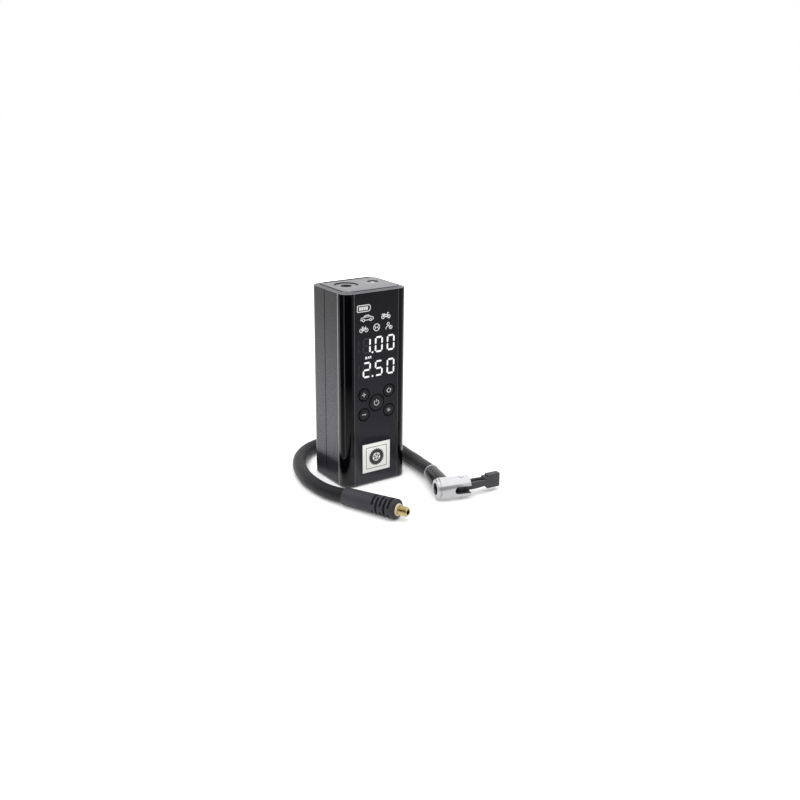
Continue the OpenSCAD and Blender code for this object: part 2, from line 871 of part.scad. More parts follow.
module outlet_port() {
  color([0.72, 0.58, 0.3])
    translate([-outlet_dx, outlet_y, 0])
      difference() {
        union() {
          translate([0, 0, port_z])
            cylinder(r = port_r, h = port_top - port_z);
          translate([0, 0, cap_bottom - 1.5])
            cylinder(r = port_r + 1.8, h = 1.5);
          x_cylinder(port_r - nipple_root, 0, tube_z, tube_bore_r - pilot, nipple_root + nipple_l);
        }
        translate([0, 0, port_top - port_lead])
          cylinder(r1 = outlet_thread_r, r2 = outlet_thread_r + port_lead, h = port_lead);
        translate([0, 0, port_thread_z])
          cylinder(r = outlet_thread_r, h = outlet_thread_l + over);
        translate([0, 0, tube_z])
          cylinder(r = air_bore_r, h = port_top - tube_z);
        x_cylinder(-air_bore_r, 0, tube_z, air_bore_r, air_bore_r + port_r + nipple_l + over);
      }
}

module air_tube() {
  color([0.75, 0.75, 0.78])
    difference() {
      x_cylinder(port_side + slip, outlet_y, tube_z, tube_r, head_side - port_side - 2 * slip);
      x_cylinder(port_side, outlet_y, tube_z, tube_bore_r, head_side - port_side);
    }
}

// ---------- motor ----------

module motor_can() {
  color([0.62, 0.62, 0.64])
    difference() {
      x_cylinder(frame_x - motor_l + bell_l, pump_y, motor_z, motor_r, motor_l - bell_l);
      x_cylinder(frame_x - motor_l, pump_y, motor_z, motor_r - motor_wall, motor_l - 1.2);
      x_cylinder(frame_x - motor_l, pump_y, motor_z, bush_r, motor_l + over);
      motor_screw_holes();
    }
}

// Holes for the two screws that hold the motor to the frame plate
module motor_screw_holes() {
  for (side = [-1, 1])
    x_cylinder(frame_x - 3, pump_y + side * motor_screw_d, motor_z, m25_r + pilot, frame_t + 3 + over);
}

module motor_end_bell() {
  color([0.85, 0.85, 0.82])
    difference() {
      union() {
        x_cylinder(frame_x - motor_l, pump_y, motor_z, motor_r, bell_l);
        x_cylinder(frame_x - motor_l + bell_l - 0.1, pump_y, motor_z, motor_r - motor_wall - pilot, spigot_l);
        x_cylinder(frame_x - motor_l - motor_boss, pump_y, motor_z, motor_boss_r, motor_boss + 0.1);
      }
      x_cylinder(frame_x - motor_l + 2, pump_y, motor_z, motor_r - motor_wall - magnet_t, bell_l + spigot_l);
      x_cylinder(frame_x - motor_l - motor_boss + 0.5, pump_y, motor_z, bush_r, motor_l);
    }
}

module motor_magnets() {
  color([0.25, 0.25, 0.27])
    difference() {
      x_cylinder(frame_x - motor_l + bell_l + magnet_space, pump_y, motor_z,
                 motor_r - motor_wall - pilot, motor_l - bell_l - 2 * magnet_space);
      x_cylinder(frame_x - motor_l, pump_y, motor_z, motor_r - motor_wall - magnet_t, motor_l);
      translate([frame_x - motor_l, pump_y - magnet_split / 2, motor_z - motor_r])
        cube([motor_l, magnet_split, 2 * motor_r]);
    }
}

module bush(x0, l) {
  difference() {
    x_cylinder(x0, pump_y, motor_z, bush_r - pilot, l);
    x_cylinder(x0 - over, pump_y, motor_z, shaft_r + run, l + 2 * over);
  }
}

module motor_bushes() {
  color([0.7, 0.5, 0.3]) {
    bush(frame_x - 1.2, 1.8);
    bush(frame_x - motor_l - motor_boss + 0.5, bush_l);
  }
}

// Turning iron with its commutator
module rotor() {
  color([0.55, 0.3, 0.15])
    difference() {
      union() {
        x_cylinder(frame_x - motor_l + bell_l + magnet_space + 1, pump_y, motor_z,
                   motor_r - motor_wall - magnet_t - 0.6, motor_l - bell_l - 2 * magnet_space - 2);
        x_cylinder(frame_x - motor_l + bell_l, pump_y, motor_z, 3.4, motor_l - bell_l - 2);
      }
      x_cylinder(frame_x - motor_l, pump_y, motor_z, shaft_r + 0.01, motor_l);
    }
}

module motor_shaft() {
  color([0.8, 0.8, 0.82])
    x_cylinder(frame_x - motor_l - motor_boss + 0.7, pump_y, motor_z, shaft_r,
               motor_l + motor_boss + frame_t + gear_t + stack_gap - 0.7);
}

module motor_screws() {
  color([0.6, 0.6, 0.62])
    for (side = [-1, 1])
      translate([frame_x + frame_t, pump_y + side * motor_screw_d, motor_z])
        rotate([0, -90, 0])
          screw(m25_r, m25_head_r - 0.3, 0.4, frame_t + 1);
}

// ---------- gears ----------

// Angle of the involute at radius r, for base radius rb, in degrees
function involute(rb, r) = (sqrt(r * r / (rb * rb) - 1)) * 180 / PI - acos(rb / r);

// One flank's points as [radius, half angle] pairs, from root to tip
function tooth_half_angles(teeth) =
  let (
    rp = tooth_m * teeth / 2,
    rb = rp * cos(20),
    root = rp - dedendum,
    tip = rp + addendum,
    low = max(rb, root),
    half = 90 / teeth - backlash / 2 / rp * 180 / PI + involute(rb, rp)
  )
  concat(
    root < rb ? [[root, half]] : [],
    [for (k = [0 : 4]) let (r = low + (tip - low) * k / 4) [r, half - involute(rb, r)]]
  );

function gear_outline(teeth, phase) =
  let (flank = tooth_half_angles(teeth), last = len(flank) - 1)
  [for (t = [0 : teeth - 1], k = [0 : 2 * last + 1])
    let (
      p = k <= last ? flank[k] : flank[2 * last + 1 - k],
      a = t * 360 / teeth + phase + (k <= last ? -p[1] : p[1])
    )
    [p[0] * cos(a), p[0] * sin(a)]];

// Spur gear on an axis along +X, with a tooth centred at the given angle from +Y towards +Z
module spur_gear(teeth, phase, thickness) {
  rotate([90, 0, 90])
    linear_extrude(thickness)
      polygon(gear_outline(teeth, phase));
}

module pinion() {
  color([0.85, 0.75, 0.45])
    translate([gear_x, pump_y, motor_z])
      difference() {
        spur_gear(pinion_teeth, 90, gear_t);
        x_cylinder(-over, 0, 0, shaft_r + 0.01, gear_t + 2 * over);
      }
}

module crank_gear() {
  color([0.9, 0.88, 0.8])
    translate([gear_x, pump_y, gear_z])
      difference() {
        spur_gear(gear_teeth, -90 + 180 / gear_teeth, gear_t);
        x_cylinder(-over, 0, 0, axle_r + run, gear_t + 2 * over);
        x_cylinder(gear_t - clip_pocket, 0, 0, clip_pocket_r, clip_pocket + over);
        for (a = [45 : 90 : 315])
          x_cylinder(-over, gear_hole_ring * cos(a), gear_hole_ring * sin(a), gear_hole_r, gear_t + 2 * over);
      }
}

module gear_axle() {
  color([0.8, 0.8, 0.82])
    difference() {
      x_cylinder(frame_x, pump_y, gear_z, axle_r, frame_t + stack_gap + gear_t - 0.2);
      difference() {
        x_cylinder(gear_x + gear_t - 1.1, pump_y, gear_z, axle_r + over, 0.5);
        x_cylinder(gear_x, pump_y, gear_z, axle_r - 0.4, gear_t);
      }
    }
}

module axle_clip() {
  color([0.3, 0.3, 0.32])
    difference() {
      x_cylinder(gear_x + gear_t - 1.05, pump_y, gear_z, axle_r + 1.4, 0.4);
      x_cylinder(gear_x, pump_y, gear_z, axle_r - 0.35, gear_t + over);
      translate([gear_x, pump_y - 0.6, gear_z])
        cube([gear_t + over, 1.2, 2 * axle_r + 2]);
    }
}

// ---------- pump ----------

// Cast frame: a plate for the motor and the gear axle, and a shelf for the cylinder
module pump_frame() {
  color([0.6, 0.61, 0.63])
    difference() {
      union() {
        translate([frame_x, pump_y - motor_r, motor_z - motor_r + 1])
          cube([frame_t, 2 * motor_r, shelf_z - motor_z + motor_r]);
        translate([-x_in, shelf_front, shelf_z])
          cube([2 * x_in, shelf_back - shelf_front, frame_t]);
        for (side = [-1, 1])
          translate([frame_x - gusset, pump_y + side * (motor_r - frame_t / 2) - frame_t / 2, shelf_z])
            rotate([-90, 0, 0])
              linear_extrude(frame_t)
                polygon([[0, -0.1], [gusset + 0.1, -0.1], [gusset + 0.1, gusset + 1]]);
      }
      x_cylinder(frame_x - over, pump_y, motor_z, 2.8, frame_t + 2 * over);
      x_cylinder(frame_x - over, pump_y, gear_z, axle_r + 0.01, frame_t + 2 * over);
      motor_screw_holes();
      for (side = [-1, 1])
        translate([side * (x_in - 2.4), shelf_front + 2.8, shelf_z - over])
          cylinder(r = m25_r + 0.2, h = frame_t + 2 * over);
      translate([pump_x, pump_y, shelf_z - over])
        cylinder(r = cylinder_r + 0.1, h = frame_t + 2 * over);
      head_screw_holes(shelf_z - over, frame_t + 2 * over, m3_r + pilot);
    }
}

module head_screw_holes(z, h, r) {
  for (sx = [-1, 1], sy = [-1, 1])
    translate([pump_x + sx * head_screw_d, pump_y + sy * head_screw_d, z])
      cylinder(r = r, h = h);
}

module frame_screws() {
  color([0.6, 0.6, 0.62])
    for (side = [-1, 1])
      translate([side * (x_in - 2.4), shelf_front + 2.8, shelf_top])
        rotate([180, 0, 0])
          screw(m25_r, m25_head_r, m25_head_h, frame_t + m25_l - 1);
}

module square_plate(z, h) {
  translate([pump_x - head_half, pump_y - head_half, z])
    cube([2 * head_half, 2 * head_half, h]);
}

module cylinder_barrel() {
  translate([pump_x, pump_y, shelf_z])
    cylinder(r = cylinder_r, h = cylinder_top - shelf_z);
  for (z = [shelf_top + 5 : 3.2 : cylinder_top - 3])
    translate([pump_x, pump_y, z])
      cylinder(r = cylinder_r + 1.8, h = 1);
}

module pump_cylinder() {
  color([0.72, 0.73, 0.75])
    difference() {
      union() {
        cylinder_barrel();
        square_plate(shelf_top, flange_h);
      }
      translate([pump_x, pump_y, shelf_z - over])
        cylinder(r = bore_r, h = cylinder_top - shelf_z + 2 * over);
      head_screw_holes(shelf_top - over, flange_h + 2 * over, m3_r + 0.1);
    }
}

module valve_plate() {
  color([0.8, 0.8, 0.82])
    difference() {
      square_plate(cylinder_top, valve_t);
      for (side = [-1, 1])
        translate([pump_x + side * 3.5, pump_y, cylinder_top - over])
          cylinder(r = 1.2, h = valve_t + 2 * over);
      head_screw_holes(cylinder_top - over, valve_t + 2 * over, m3_r + 0.1);
    }
}

// Head with its air chamber and the side nipple for the tube
module cylinder_head() {
  color([0.66, 0.67, 0.69])
    difference() {
      union() {
        square_plate(head_z, head_h);
        x_cylinder(head_side - nipple_l, outlet_y, tube_z, tube_bore_r - pilot, nipple_l + nipple_root);
      }
      translate([pump_x, pump_y, head_z - over])
        cylinder(r = 7, h = head_h - 1.4 + over);
      x_cylinder(head_side - nipple_l - over, outlet_y, tube_z, air_bore_r, nipple_l + head_half);
      head_screw_holes(head_z - over, head_h + 2 * over, m3_r + 0.1);
    }
}

module head_screws() {
  color([0.55, 0.55, 0.57])
    for (sx = [-1, 1], sy = [-1, 1])
      translate([pump_x + sx * head_screw_d, pump_y + sy * head_screw_d, head_top])
        rotate([180, 0, 0])
          screw(m3_r, m3_head_r, m3_head_h, head_top - shelf_z);
}

module piston() {
  color([0.8, 0.8, 0.78])
    difference() {
      translate([pump_x, pump_y, piston_low])
        cylinder(r = piston_r, h = piston_h);
      translate([pump_x, pump_y, piston_top - 2.4])
        difference() {
          cylinder(r = bore_r, h = 1.2);
          cylinder(r = piston_r - 0.8, h = 1.2);
        }
      translate([pump_x - rod_t / 2 - 0.4, pump_y - small_end_r - 2, piston_low - over])
        cube([rod_t + 0.8, 2 * small_end_r + 4, piston_h / 2 + small_end_r + slip + over]);
      x_cylinder(pump_x - bore_r, pump_y, wrist_z, pin_r, 2 * bore_r);
    }
}

module piston_seal() {
  color([0.1, 0.1, 0.1])
    translate([pump_x, pump_y, piston_top - 2.3])
      difference() {
        cylinder(r = bore_r - run, h = 1);
        translate([0, 0, -over])
          cylinder(r = piston_r - 0.75, h = 1 + 2 * over);
      }
}

module wrist_pin() {
  color([0.8, 0.8, 0.82])
    x_cylinder(pump_x - wrist_half, pump_y, wrist_z, pin_r - 0.01, 2 * wrist_half);
}

module connecting_rod() {
  color([0.75, 0.76, 0.78])
    difference() {
      union() {
        x_cylinder(pump_x - rod_t / 2, pump_y, wrist_z, small_end_r, rod_t);
        x_cylinder(pump_x - rod_t / 2, pump_y, crank_z, big_end_r, rod_t);
        translate([pump_x - rod_t / 2, pump_y - rod_w / 2, crank_z])
          cube([rod_t, rod_w, rod_l]);
      }
      x_cylinder(pump_x - rod_t, pump_y, wrist_z, pin_r + run, 2 * rod_t);
      x_cylinder(pump_x - rod_t, pump_y, crank_z, pin_r, 2 * rod_t);
    }
}

// The crank pin stays in the rod's big end and stops just clear of the gear's face
module crank_pin() {
  color([0.82, 0.82, 0.84]) {
    x_cylinder(pump_x - rod_t / 2 - 0.3, pump_y, crank_z, pin_r - 0.01, rod_t + 0.9);
    x_cylinder(pump_x + rod_t / 2 + 0.05, pump_y, crank_z, pin_r + 0.8, 0.8);
  }
}

// ---------- hose ----------

// Point of a smooth curve through p1 and p2, at the share t of the way
function smooth(p0, p1, p2, p3, t) =
  0.5 * ((2 * p1) + (p2 - p0) * t + (2 * p0 - 5 * p1 + 4 * p2 - p3) * t * t
         + (3 * p1 - p0 - 3 * p2 + p3) * t * t * t);

function unit(v) = v / norm(v);

// Tube along a route: rings of points, kept level by the upright direction
module swept_tube(route, r, sides, steps, dir0, dir1) {
  n = len(route) - 1;
  before = route[0] - dir0 * norm(route[1] - route[0]);
  after = route[n] + dir1 * norm(route[n] - route[n - 1]);
  pts = concat([before], route, [after]);
  path = concat(
    [for (i = [0 : n - 1], s = [0 : steps - 1])
      smooth(pts[i], pts[i + 1], pts[i + 2], pts[i + 3], s / steps)],
    [route[n]]);
  m = len(path) - 1;
  rings = [for (i = [0 : m])
    let (
      d = i == 0 ? dir0 : i == m ? dir1 : unit(path[i + 1] - path[i - 1]),
      side = unit(cross(d, [0, 0, 1])),
      top = cross(side, d)
    )
    for (k = [0 : sides - 1])
      path[i] + r * (cos(360 * k / sides) * side + sin(360 * k / sides) * top)];
  walls = [for (i = [0 : m - 1], k = [0 : sides - 1])
    let (a = i * sides + k, b = i * sides + (k + 1) % sides)
    [a, b, b + sides, a + sides]];
  polyhedron(
    points = rings,
    faces = concat(
      [[for (k = [sides - 1 : -1 : 0]) k]],
      walls,
      [[for (k = [0 : sides - 1]) m * sides + k]]),
    convexity = 6);
}

// Direction of the grip's axis, from the hose to the fitting
function grip_dir() = [sin(grip_fall) * cos(grip_yaw), sin(grip_fall) * sin(grip_yaw), cos(grip_fall)];

module hose() {
  color([0.06, 0.06, 0.065])
    swept_tube(hose_route, hose_r, hose_sides, hose_steps, -grip_dir(), -hose_dir);
}

// Places its children on the grip's axis, with +Z along it
module on_grip() {
  translate(grip_start)
    rotate([0, grip_fall, grip_yaw])
      children();
}

module relief_slots() {
  for (i = [0 : relief_count - 1])
    translate([0, 0, grip_l - 4 - i * relief_pitch - relief_w])
      rotate([0, 0, i % 2 == 0 ? 0 : 90])
        difference() {
          cube([4 * grip_r_large, 1.5 * grip_r_large, relief_w * 2], center = true);
          cylinder(r = relief_core_r, h = relief_w * 3, center = true);
          translate([0, 0, relief_w])
            cube([5 * grip_r_large, 5 * grip_r_large, relief_w], center = true);
          translate([0, 0, -relief_w])
            cube([5 * grip_r_large, 5 * grip_r_large, relief_w], center = true);
        }
}

module hose_grip() {
  color([0.12, 0.12, 0.125])
    on_grip()
      difference() {
        union() {
          cylinder(r1 = grip_r_small, r2 = grip_r_large, h = grip_l - 1.5);
          translate([0, 0, grip_l - 1.5])
            cylinder(r1 = grip_r_large, r2 = grip_r_large - 1.2, h = 1.5);
        }
        relief_slots();
        translate([0, 0, grip_l - 14])
          cylinder(r = fitting_r - 0.5, h = 15);
      }
}

module fitting_seal() {
  color([0.85, 0.83, 0.78])
    on_grip()
      translate([0, 0, grip_l])
        difference() {
          cylinder(r = fitting_r + 1.2, h = seal_t);
          translate([0, 0, -over])
            cylinder(r = fitting_r - 0.45, h = seal_t + 2 * over);
        }
}

module hose_fitting() {
  color([0.8, 0.62, 0.28])
    on_grip()
      difference() {
        union() {
          translate([0, 0, grip_l - 13.8])
            cylinder(r = fitting_r - 0.55, h = 13.8 + seal_t + 0.1);
          translate([0, 0, grip_l + seal_t])
            cylinder(r = fitting_r, h = fitting_l - 0.6);
          translate([0, 0, grip_l + seal_t + fitting_l - 0.6])
            cylinder(r1 = fitting_r, r2 = fitting_r - 0.6, h = 0.6);
        }
        translate([0, 0, grip_l - 15])
          cylinder(r = fitting_bore_r, h = 30);
      }
}

// ---------- chuck ----------

// Places its children in the chuck's frame: X along the axis from the mouth, Y towards the hose
module on_chuck() {
  translate(chuck_mouth)
    rotate([0, 0, chuck_yaw])
      children();
}

module hose_ferrule() {
  color([0.07, 0.07, 0.075])
    on_chuck()
      difference() {
        translate([inlet_u, 0, 0])
          rotate([-90, 0, 0])
            cylinder(r1 = ferrule_base_r, r2 = ferrule_r, h = inlet_v - crimp_w);
        x_cylinder(0, 0, 0, chuck_r + pilot, chuck_l);
        y_cylinder(inlet_u, 0, 0, inlet_bore_r, inlet_v);
      }
}

module crimp_ring() {
  color([0.8, 0.8, 0.82])
    on_chuck()
      y_cylinder(inlet_u, inlet_v - crimp_w, 0, crimp_r, crimp_w);
}

// Cutter for the lever: a slot right through the body, open to the rear
module lever_slot() {
  translate([slot_start + slot_h / 2, -2 * chuck_r, -slot_h / 2])
    cube([chuck_l, 4 * chuck_r, slot_h]);
  y_cylinder(slot_start + slot_h / 2, -2 * chuck_r, 0, slot_h / 2, 4 * chuck_r);
}

module chuck_body() {
  color([0.85, 0.85, 0.87])
    on_chuck()
      difference() {
        union() {
          x_cylinder(lip_l + neck_l, 0, 0, chuck_r, chuck_l - lip_l - neck_l);
          x_cylinder(0.4, 0, 0, neck_r, lip_l + neck_l);
          translate([0.6, 0, 0])
            x_cylinder(0, 0, 0, lip_r, lip_l - 0.6);
          rotate([0, 90, 0])
            cylinder(r1 = lip_r - 0.6, r2 = lip_r, h = 0.6);
        }
        x_cylinder(-over, 0, 0, mouth_r, mouth_l + over);
        y_cylinder(inlet_u, 0, 0, inlet_bore_r, 2 * chuck_r);
        lever_slot();
        translate([0, 0, slot_h / 2 - over])
          linear_extrude(chuck_r)
            polygon([[pivot_u - 7, 7.2], [pivot_u - 2.8, 7.2], [pivot_u - 2.8, 1]]);
        translate([pivot_u, 0, -2 * chuck_r])
          cylinder(r = pivot_r + 0.01, h = 4 * chuck_r);
        for (side = [-1, 1])
          translate([pivot_u, 0, side > 0 ? chuck_r - 0.7 : -chuck_r - 0.3])
            cylinder(r = pin_head_r + 0.2, h = 1);
      }
}

module chuck_seal() {
  color([0.1, 0.1, 0.1])
    on_chuck()
      difference() {
        x_cylinder(seal_start, 0, 0, mouth_r - pilot, seal_l);
        x_cylinder(seal_start - over, 0, 0, valve_r, seal_l + 2 * over);
      }
}

module lever_pin() {
  color([0.82, 0.82, 0.84])
    on_chuck()
      translate([pivot_u, 0, 0]) {
        translate([0, 0, -chuck_r])
          cylinder(r = pivot_r, h = 2 * chuck_r);
        translate([0, 0, chuck_r - 0.65])
          cylinder(r = pin_head_r, h = pin_head_h);
        translate([0, 0, -chuck_r + 0.65 - pin_head_h])
          cylinder(r = pin_head_r, h = pin_head_h);
      }
}

// Two arms from the hub on the pin to the thumb pad
module chuck_lever() {
  color([0.09, 0.09, 0.095])
    on_chuck()
      translate([pivot_u, 0, 0])
        rotate([0, 0, lever_rest]) {
          difference() {
            translate([0, 0, -lever_h / 2])
              cylinder(r = hub_r, h = lever_h);
            translate([0, 0, -lever_h])
              cylinder(r = pivot_r + run, h = 2 * lever_h);
          }
          for (side = [-1, 1])
            translate([0, side * arm_v - arm_t / 2, 0])
              rotate([90, 0, 0])
                translate([0, 0, -arm_t])
                  linear_extrude(arm_t)
                    polygon([
                      [pivot_r + 0.8, -lever_h / 2], [pad_reach * 0.6, -lever_h / 2],
                      [pad_reach + 0.5, -arm_end_h / 2], [pad_reach + 0.5, arm_end_h / 2],
                      [pad_reach * 0.6, lever_h / 2], [pivot_r + 0.8, lever_h / 2]]);
          translate([pad_reach - 2.4, -arm_v - arm_t / 2, -pad_size / 2 + 2.2])
            cube([2.9, 2 * arm_v + arm_t, pad_size - 4.4]);
          translate([pad_reach, -pad_t / 2, -pad_size / 2])
            cube([pad_size, pad_t, pad_size]);
        }
}

// ---------- nodes ----------

front_cover();
display_panel();
badge_plate();
mid_frame();
rear_cover();
top_cap();
top_plate();
bottom_cap();
feet();
case_screws();
button_plus();
button_minus();
button_power();
button_mode();
button_light();
control_board();
board_screws();
tact_switches();
display_module();
power_board();
charge_socket();
battery_cells();
battery_cradle();
cell_straps();
lamp_board();
lamp_lens();
outlet_port();
air_tube();
motor_can();
motor_end_bell();
motor_magnets();
motor_bushes();
motor_screws();
rotor();
motor_shaft();
pinion();
pump_frame();
frame_screws();
gear_axle();
axle_clip();
crank_gear();
pump_cylinder();
valve_plate();
cylinder_head();
head_screws();
piston();
piston_seal();
wrist_pin();
connecting_rod();
crank_pin();
hose();
hose_grip();
fitting_seal();
hose_fitting();
hose_ferrule();
crimp_ring();
chuck_body();
chuck_seal();
lever_pin();
chuck_lever();
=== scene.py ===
import math

import bmesh
import bpy
from mathutils import Matrix, Vector


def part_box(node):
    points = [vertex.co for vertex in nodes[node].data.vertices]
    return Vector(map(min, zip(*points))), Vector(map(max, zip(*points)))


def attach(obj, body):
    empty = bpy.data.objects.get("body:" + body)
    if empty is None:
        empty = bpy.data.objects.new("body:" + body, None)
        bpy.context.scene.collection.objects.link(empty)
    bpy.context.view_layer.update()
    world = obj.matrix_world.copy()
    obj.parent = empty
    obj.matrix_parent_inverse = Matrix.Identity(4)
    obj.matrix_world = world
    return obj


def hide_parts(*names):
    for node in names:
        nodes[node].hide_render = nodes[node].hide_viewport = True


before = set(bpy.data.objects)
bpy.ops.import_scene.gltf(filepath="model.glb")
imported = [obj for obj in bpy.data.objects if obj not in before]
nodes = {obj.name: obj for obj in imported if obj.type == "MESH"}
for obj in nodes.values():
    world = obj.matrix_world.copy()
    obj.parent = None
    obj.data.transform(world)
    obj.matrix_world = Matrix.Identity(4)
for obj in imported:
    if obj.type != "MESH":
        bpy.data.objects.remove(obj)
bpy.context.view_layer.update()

MM = 0.001


# ---------- measures from the CAD nodes ------


def box(name):
    """Lowest and highest corners of a CAD node, in metres."""
    low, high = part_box(name)
    return Vector(low), Vector(high)


def centre(name):
    """Middle of a CAD node's box."""
    low, high = box(name)
    return (low + high) / 2


cover_low, cover_high = box("front_cover")
panel_low, panel_high = box("display_panel")
plate_low, plate_high = box("top_plate")
panel_face = panel_low.y
cap_top = box("top_cap")[1].z
case_back = box("rear_cover")[1].y


# ---------- camera ----------

CAMERA_YAW, CAMERA_PITCH, CAMERA_ROLL = 34.71, 18.44, 0.59
CAMERA_PLACE = (-0.43987, -0.69767, 0.34353)
CAMERA_LENS, CAMERA_SENSOR = 44.66, 36


def add_object(name, data):
    """Puts a new object in the scene."""
    made = bpy.data.objects.new(name, data)
    bpy.context.scene.collection.objects.link(made)
    return made


def make_camera():
    """The photographer's place: front left of the case, a little above it."""
    yaw, pitch, roll = (math.radians(angle) for angle in (CAMERA_YAW, CAMERA_PITCH, CAMERA_ROLL))
    ahead = Vector((math.sin(yaw) * math.cos(pitch), math.cos(yaw) * math.cos(pitch), -math.sin(pitch)))
    right = Vector((math.cos(yaw), -math.sin(yaw), 0))
    up = right.cross(ahead)
    right, up = (
        math.cos(roll) * right + math.sin(roll) * up,
        math.cos(roll) * up - math.sin(roll) * right,
    )
    data = bpy.data.cameras.new("camera")
    data.sensor_width = CAMERA_SENSOR
    data.lens = CAMERA_LENS
    camera = add_object("camera", data)
    turn = Matrix((right, up, -ahead)).transposed().to_4x4()
    camera.matrix_world = Matrix.Translation(CAMERA_PLACE) @ turn
    bpy.context.scene.camera = camera


make_camera()


# ---------- materials ----------


def finish(piece, material):
    """Gives the whole piece one material."""
    piece.data.materials.clear()
    piece.data.materials.append(material)
    return piece


DOT_PITCH = 2.1 * MM
# The last pair gives the heights over which painted light lightens the side wall towards its foot.
DOTS_BEGIN, DOTS_FADE, SIDE_LIGHT_FADE = (0.020, 0.026), (0.150, 0.060), (0.165, 0.075)


class Graph:
    """An empty node tree of a material or world, and ways to fill it step by step."""

    def __init__(self, owner):
        owner.use_nodes = True
        self.tree = owner.node_tree
        self.tree.nodes.clear()

    def node(self, kind, **values):
        made = self.tree.nodes.new(kind)
        for key, value in values.items():
            setattr(made, key, value)
        return made

    def link(self, out, into):
        self.tree.links.new(out, into)

    def place(self):
        """Position on the object, in metres."""
        return self.node("ShaderNodeTexCoord").outputs["Object"]

    def math(self, kind, a, b=None):
        made = self.node("ShaderNodeMath", operation=kind)
        for slot, value in ((0, a), (1, b)):
            if isinstance(value, (int, float)):
                made.inputs[slot].default_value = value
            elif value is not None:
                self.link(value, made.inputs[slot])
        return made.outputs[0]

    def spread(self, value, low, high, to_low, to_high):
        made = self.node("ShaderNodeMapRange")
        self.link(value, made.inputs["Value"])
        for key, number in (("From Min", low), ("From Max", high), ("To Min", to_low), ("To Max", to_high)):
            made.inputs[key].default_value = number
        return made.outputs[0]


class Paint(Graph):
    """Builds one node material step by step, round a Principled shader."""

    def __init__(self, name, color, roughness, metallic=0.0, ior=1.5):
        self.material = bpy.data.materials.new(name)
        super().__init__(self.material)
        self.out = self.node("ShaderNodeOutputMaterial")
        self.shader = self.node("ShaderNodeBsdfPrincipled")
        self.link(self.shader.outputs[0], self.out.inputs["Surface"])
        self.shader.inputs["Base Color"].default_value = (*color, 1)
        self.shader.inputs["Roughness"].default_value = roughness
        self.shader.inputs["Metallic"].default_value = metallic
        self.shader.inputs["IOR"].default_value = ior
        self.height = None

    def noise(self, size, detail=4.0, stretch=(1, 1, 1)):
        """Noise with features of about the given size, in metres."""
        mapping = self.node("ShaderNodeMapping")
        mapping.inputs["Scale"].default_value = [s / size for s in stretch]
        self.link(self.place(), mapping.inputs["Vector"])
        texture = self.node("ShaderNodeTexNoise")
        texture.inputs["Scale"].default_value = 1
        texture.inputs["Detail"].default_value = detail
        self.link(mapping.outputs[0], texture.inputs["Vector"])
        return texture.outputs[0]

    def vary_color(self, factor, other):
        """Mixes the base colour towards another one."""
        mix = self.node("ShaderNodeMix", data_type="RGBA")
        self.link(factor, mix.inputs[0])
        current = self.shader.inputs["Base Color"]
        if current.is_linked:
            self.link(current.links[0].from_socket, mix.inputs[6])
        else:
            mix.inputs[6].default_value = current.default_value
        mix.inputs[7].default_value = (*other, 1)
        self.link(mix.outputs[2], current)
        return self

    def vary_roughness(self, value, low, high):
        self.link(self.spread(value, 0, 1, low, high), self.shader.inputs["Roughness"])
        return self

    def bump(self, value, depth, strength=1.0):
        """Raises the surface by value times depth, in metres."""
        made = self.node("ShaderNodeBump")
        made.inputs["Strength"].default_value = strength
        made.inputs["Distance"].default_value = depth
        self.link(value, made.inputs["Height"])
        if self.height:
            self.link(self.height, made.inputs["Normal"])
        self.height = made.outputs[0]
        self.link(self.height, self.shader.inputs["Normal"])
        return self


def moulded(name, color, roughness, grain=0.0006, depth=0.00002, wear=0.25, **more):
    """Moulded plastic or rubber: fine grain, with slight changes of tone and gloss."""
    paint = Paint(name, color, roughness, **more)
    cloud = paint.noise(0.02, 3)
    lighter = [min(1, c * (1 + wear) + 0.004) for c in color]
    paint.vary_color(paint.spread(cloud, 0.35, 0.7, 0, 1), lighter)
    fine = paint.noise(grain, 5)
    paint.vary_roughness(fine, roughness * 0.85, min(1, roughness * 1.2))
    paint.bump(fine, depth)
    return paint.material


def machined(name, color, roughness, stretch=(1, 1, 1), depth=0.000004, metallic=1.0):
    """Turned or plated metal, with faint tool marks."""
    paint = Paint(name, color, roughness, metallic=metallic)
    marks = paint.noise(0.0015, 6, stretch)
    paint.vary_roughness(marks, roughness * 0.7, roughness * 1.4)
    paint.vary_color(paint.spread(paint.noise(0.008, 2), 0.3, 0.75, 0, 1), [c * 0.88 for c in color])
    paint.bump(marks, depth)
    return paint.material


def make_gloss():
    """Polished cover: deep black, with the slight ripple that moulding leaves."""
    paint = Paint("gloss_black", (0.0015, 0.0015, 0.002), 0.06, ior=1.38)
    paint.vary_roughness(paint.noise(0.03, 3), 0.04, 0.10)
    paint.bump(paint.noise(0.035, 1), 0.00002, 0.4)
    return paint.material


def make_panel():
    """Smoked panel over the display, with a painted reflection that makes it a little lighter towards its
    foot.
    """
    paint = Paint("panel_black", (0.006, 0.006, 0.008), 0.08, ior=1.36)
    up = paint.node("ShaderNodeSeparateXYZ")
    paint.link(paint.place(), up.inputs[0])
    # painted reflection: the panel's colour lightens towards its foot
    paint.vary_color(paint.spread(up.outputs[2], cover_high.z, cover_low.z, 0, 1), (0.024, 0.024, 0.030))
    paint.vary_roughness(paint.noise(0.025, 3), 0.06, 0.12)
    return paint.material


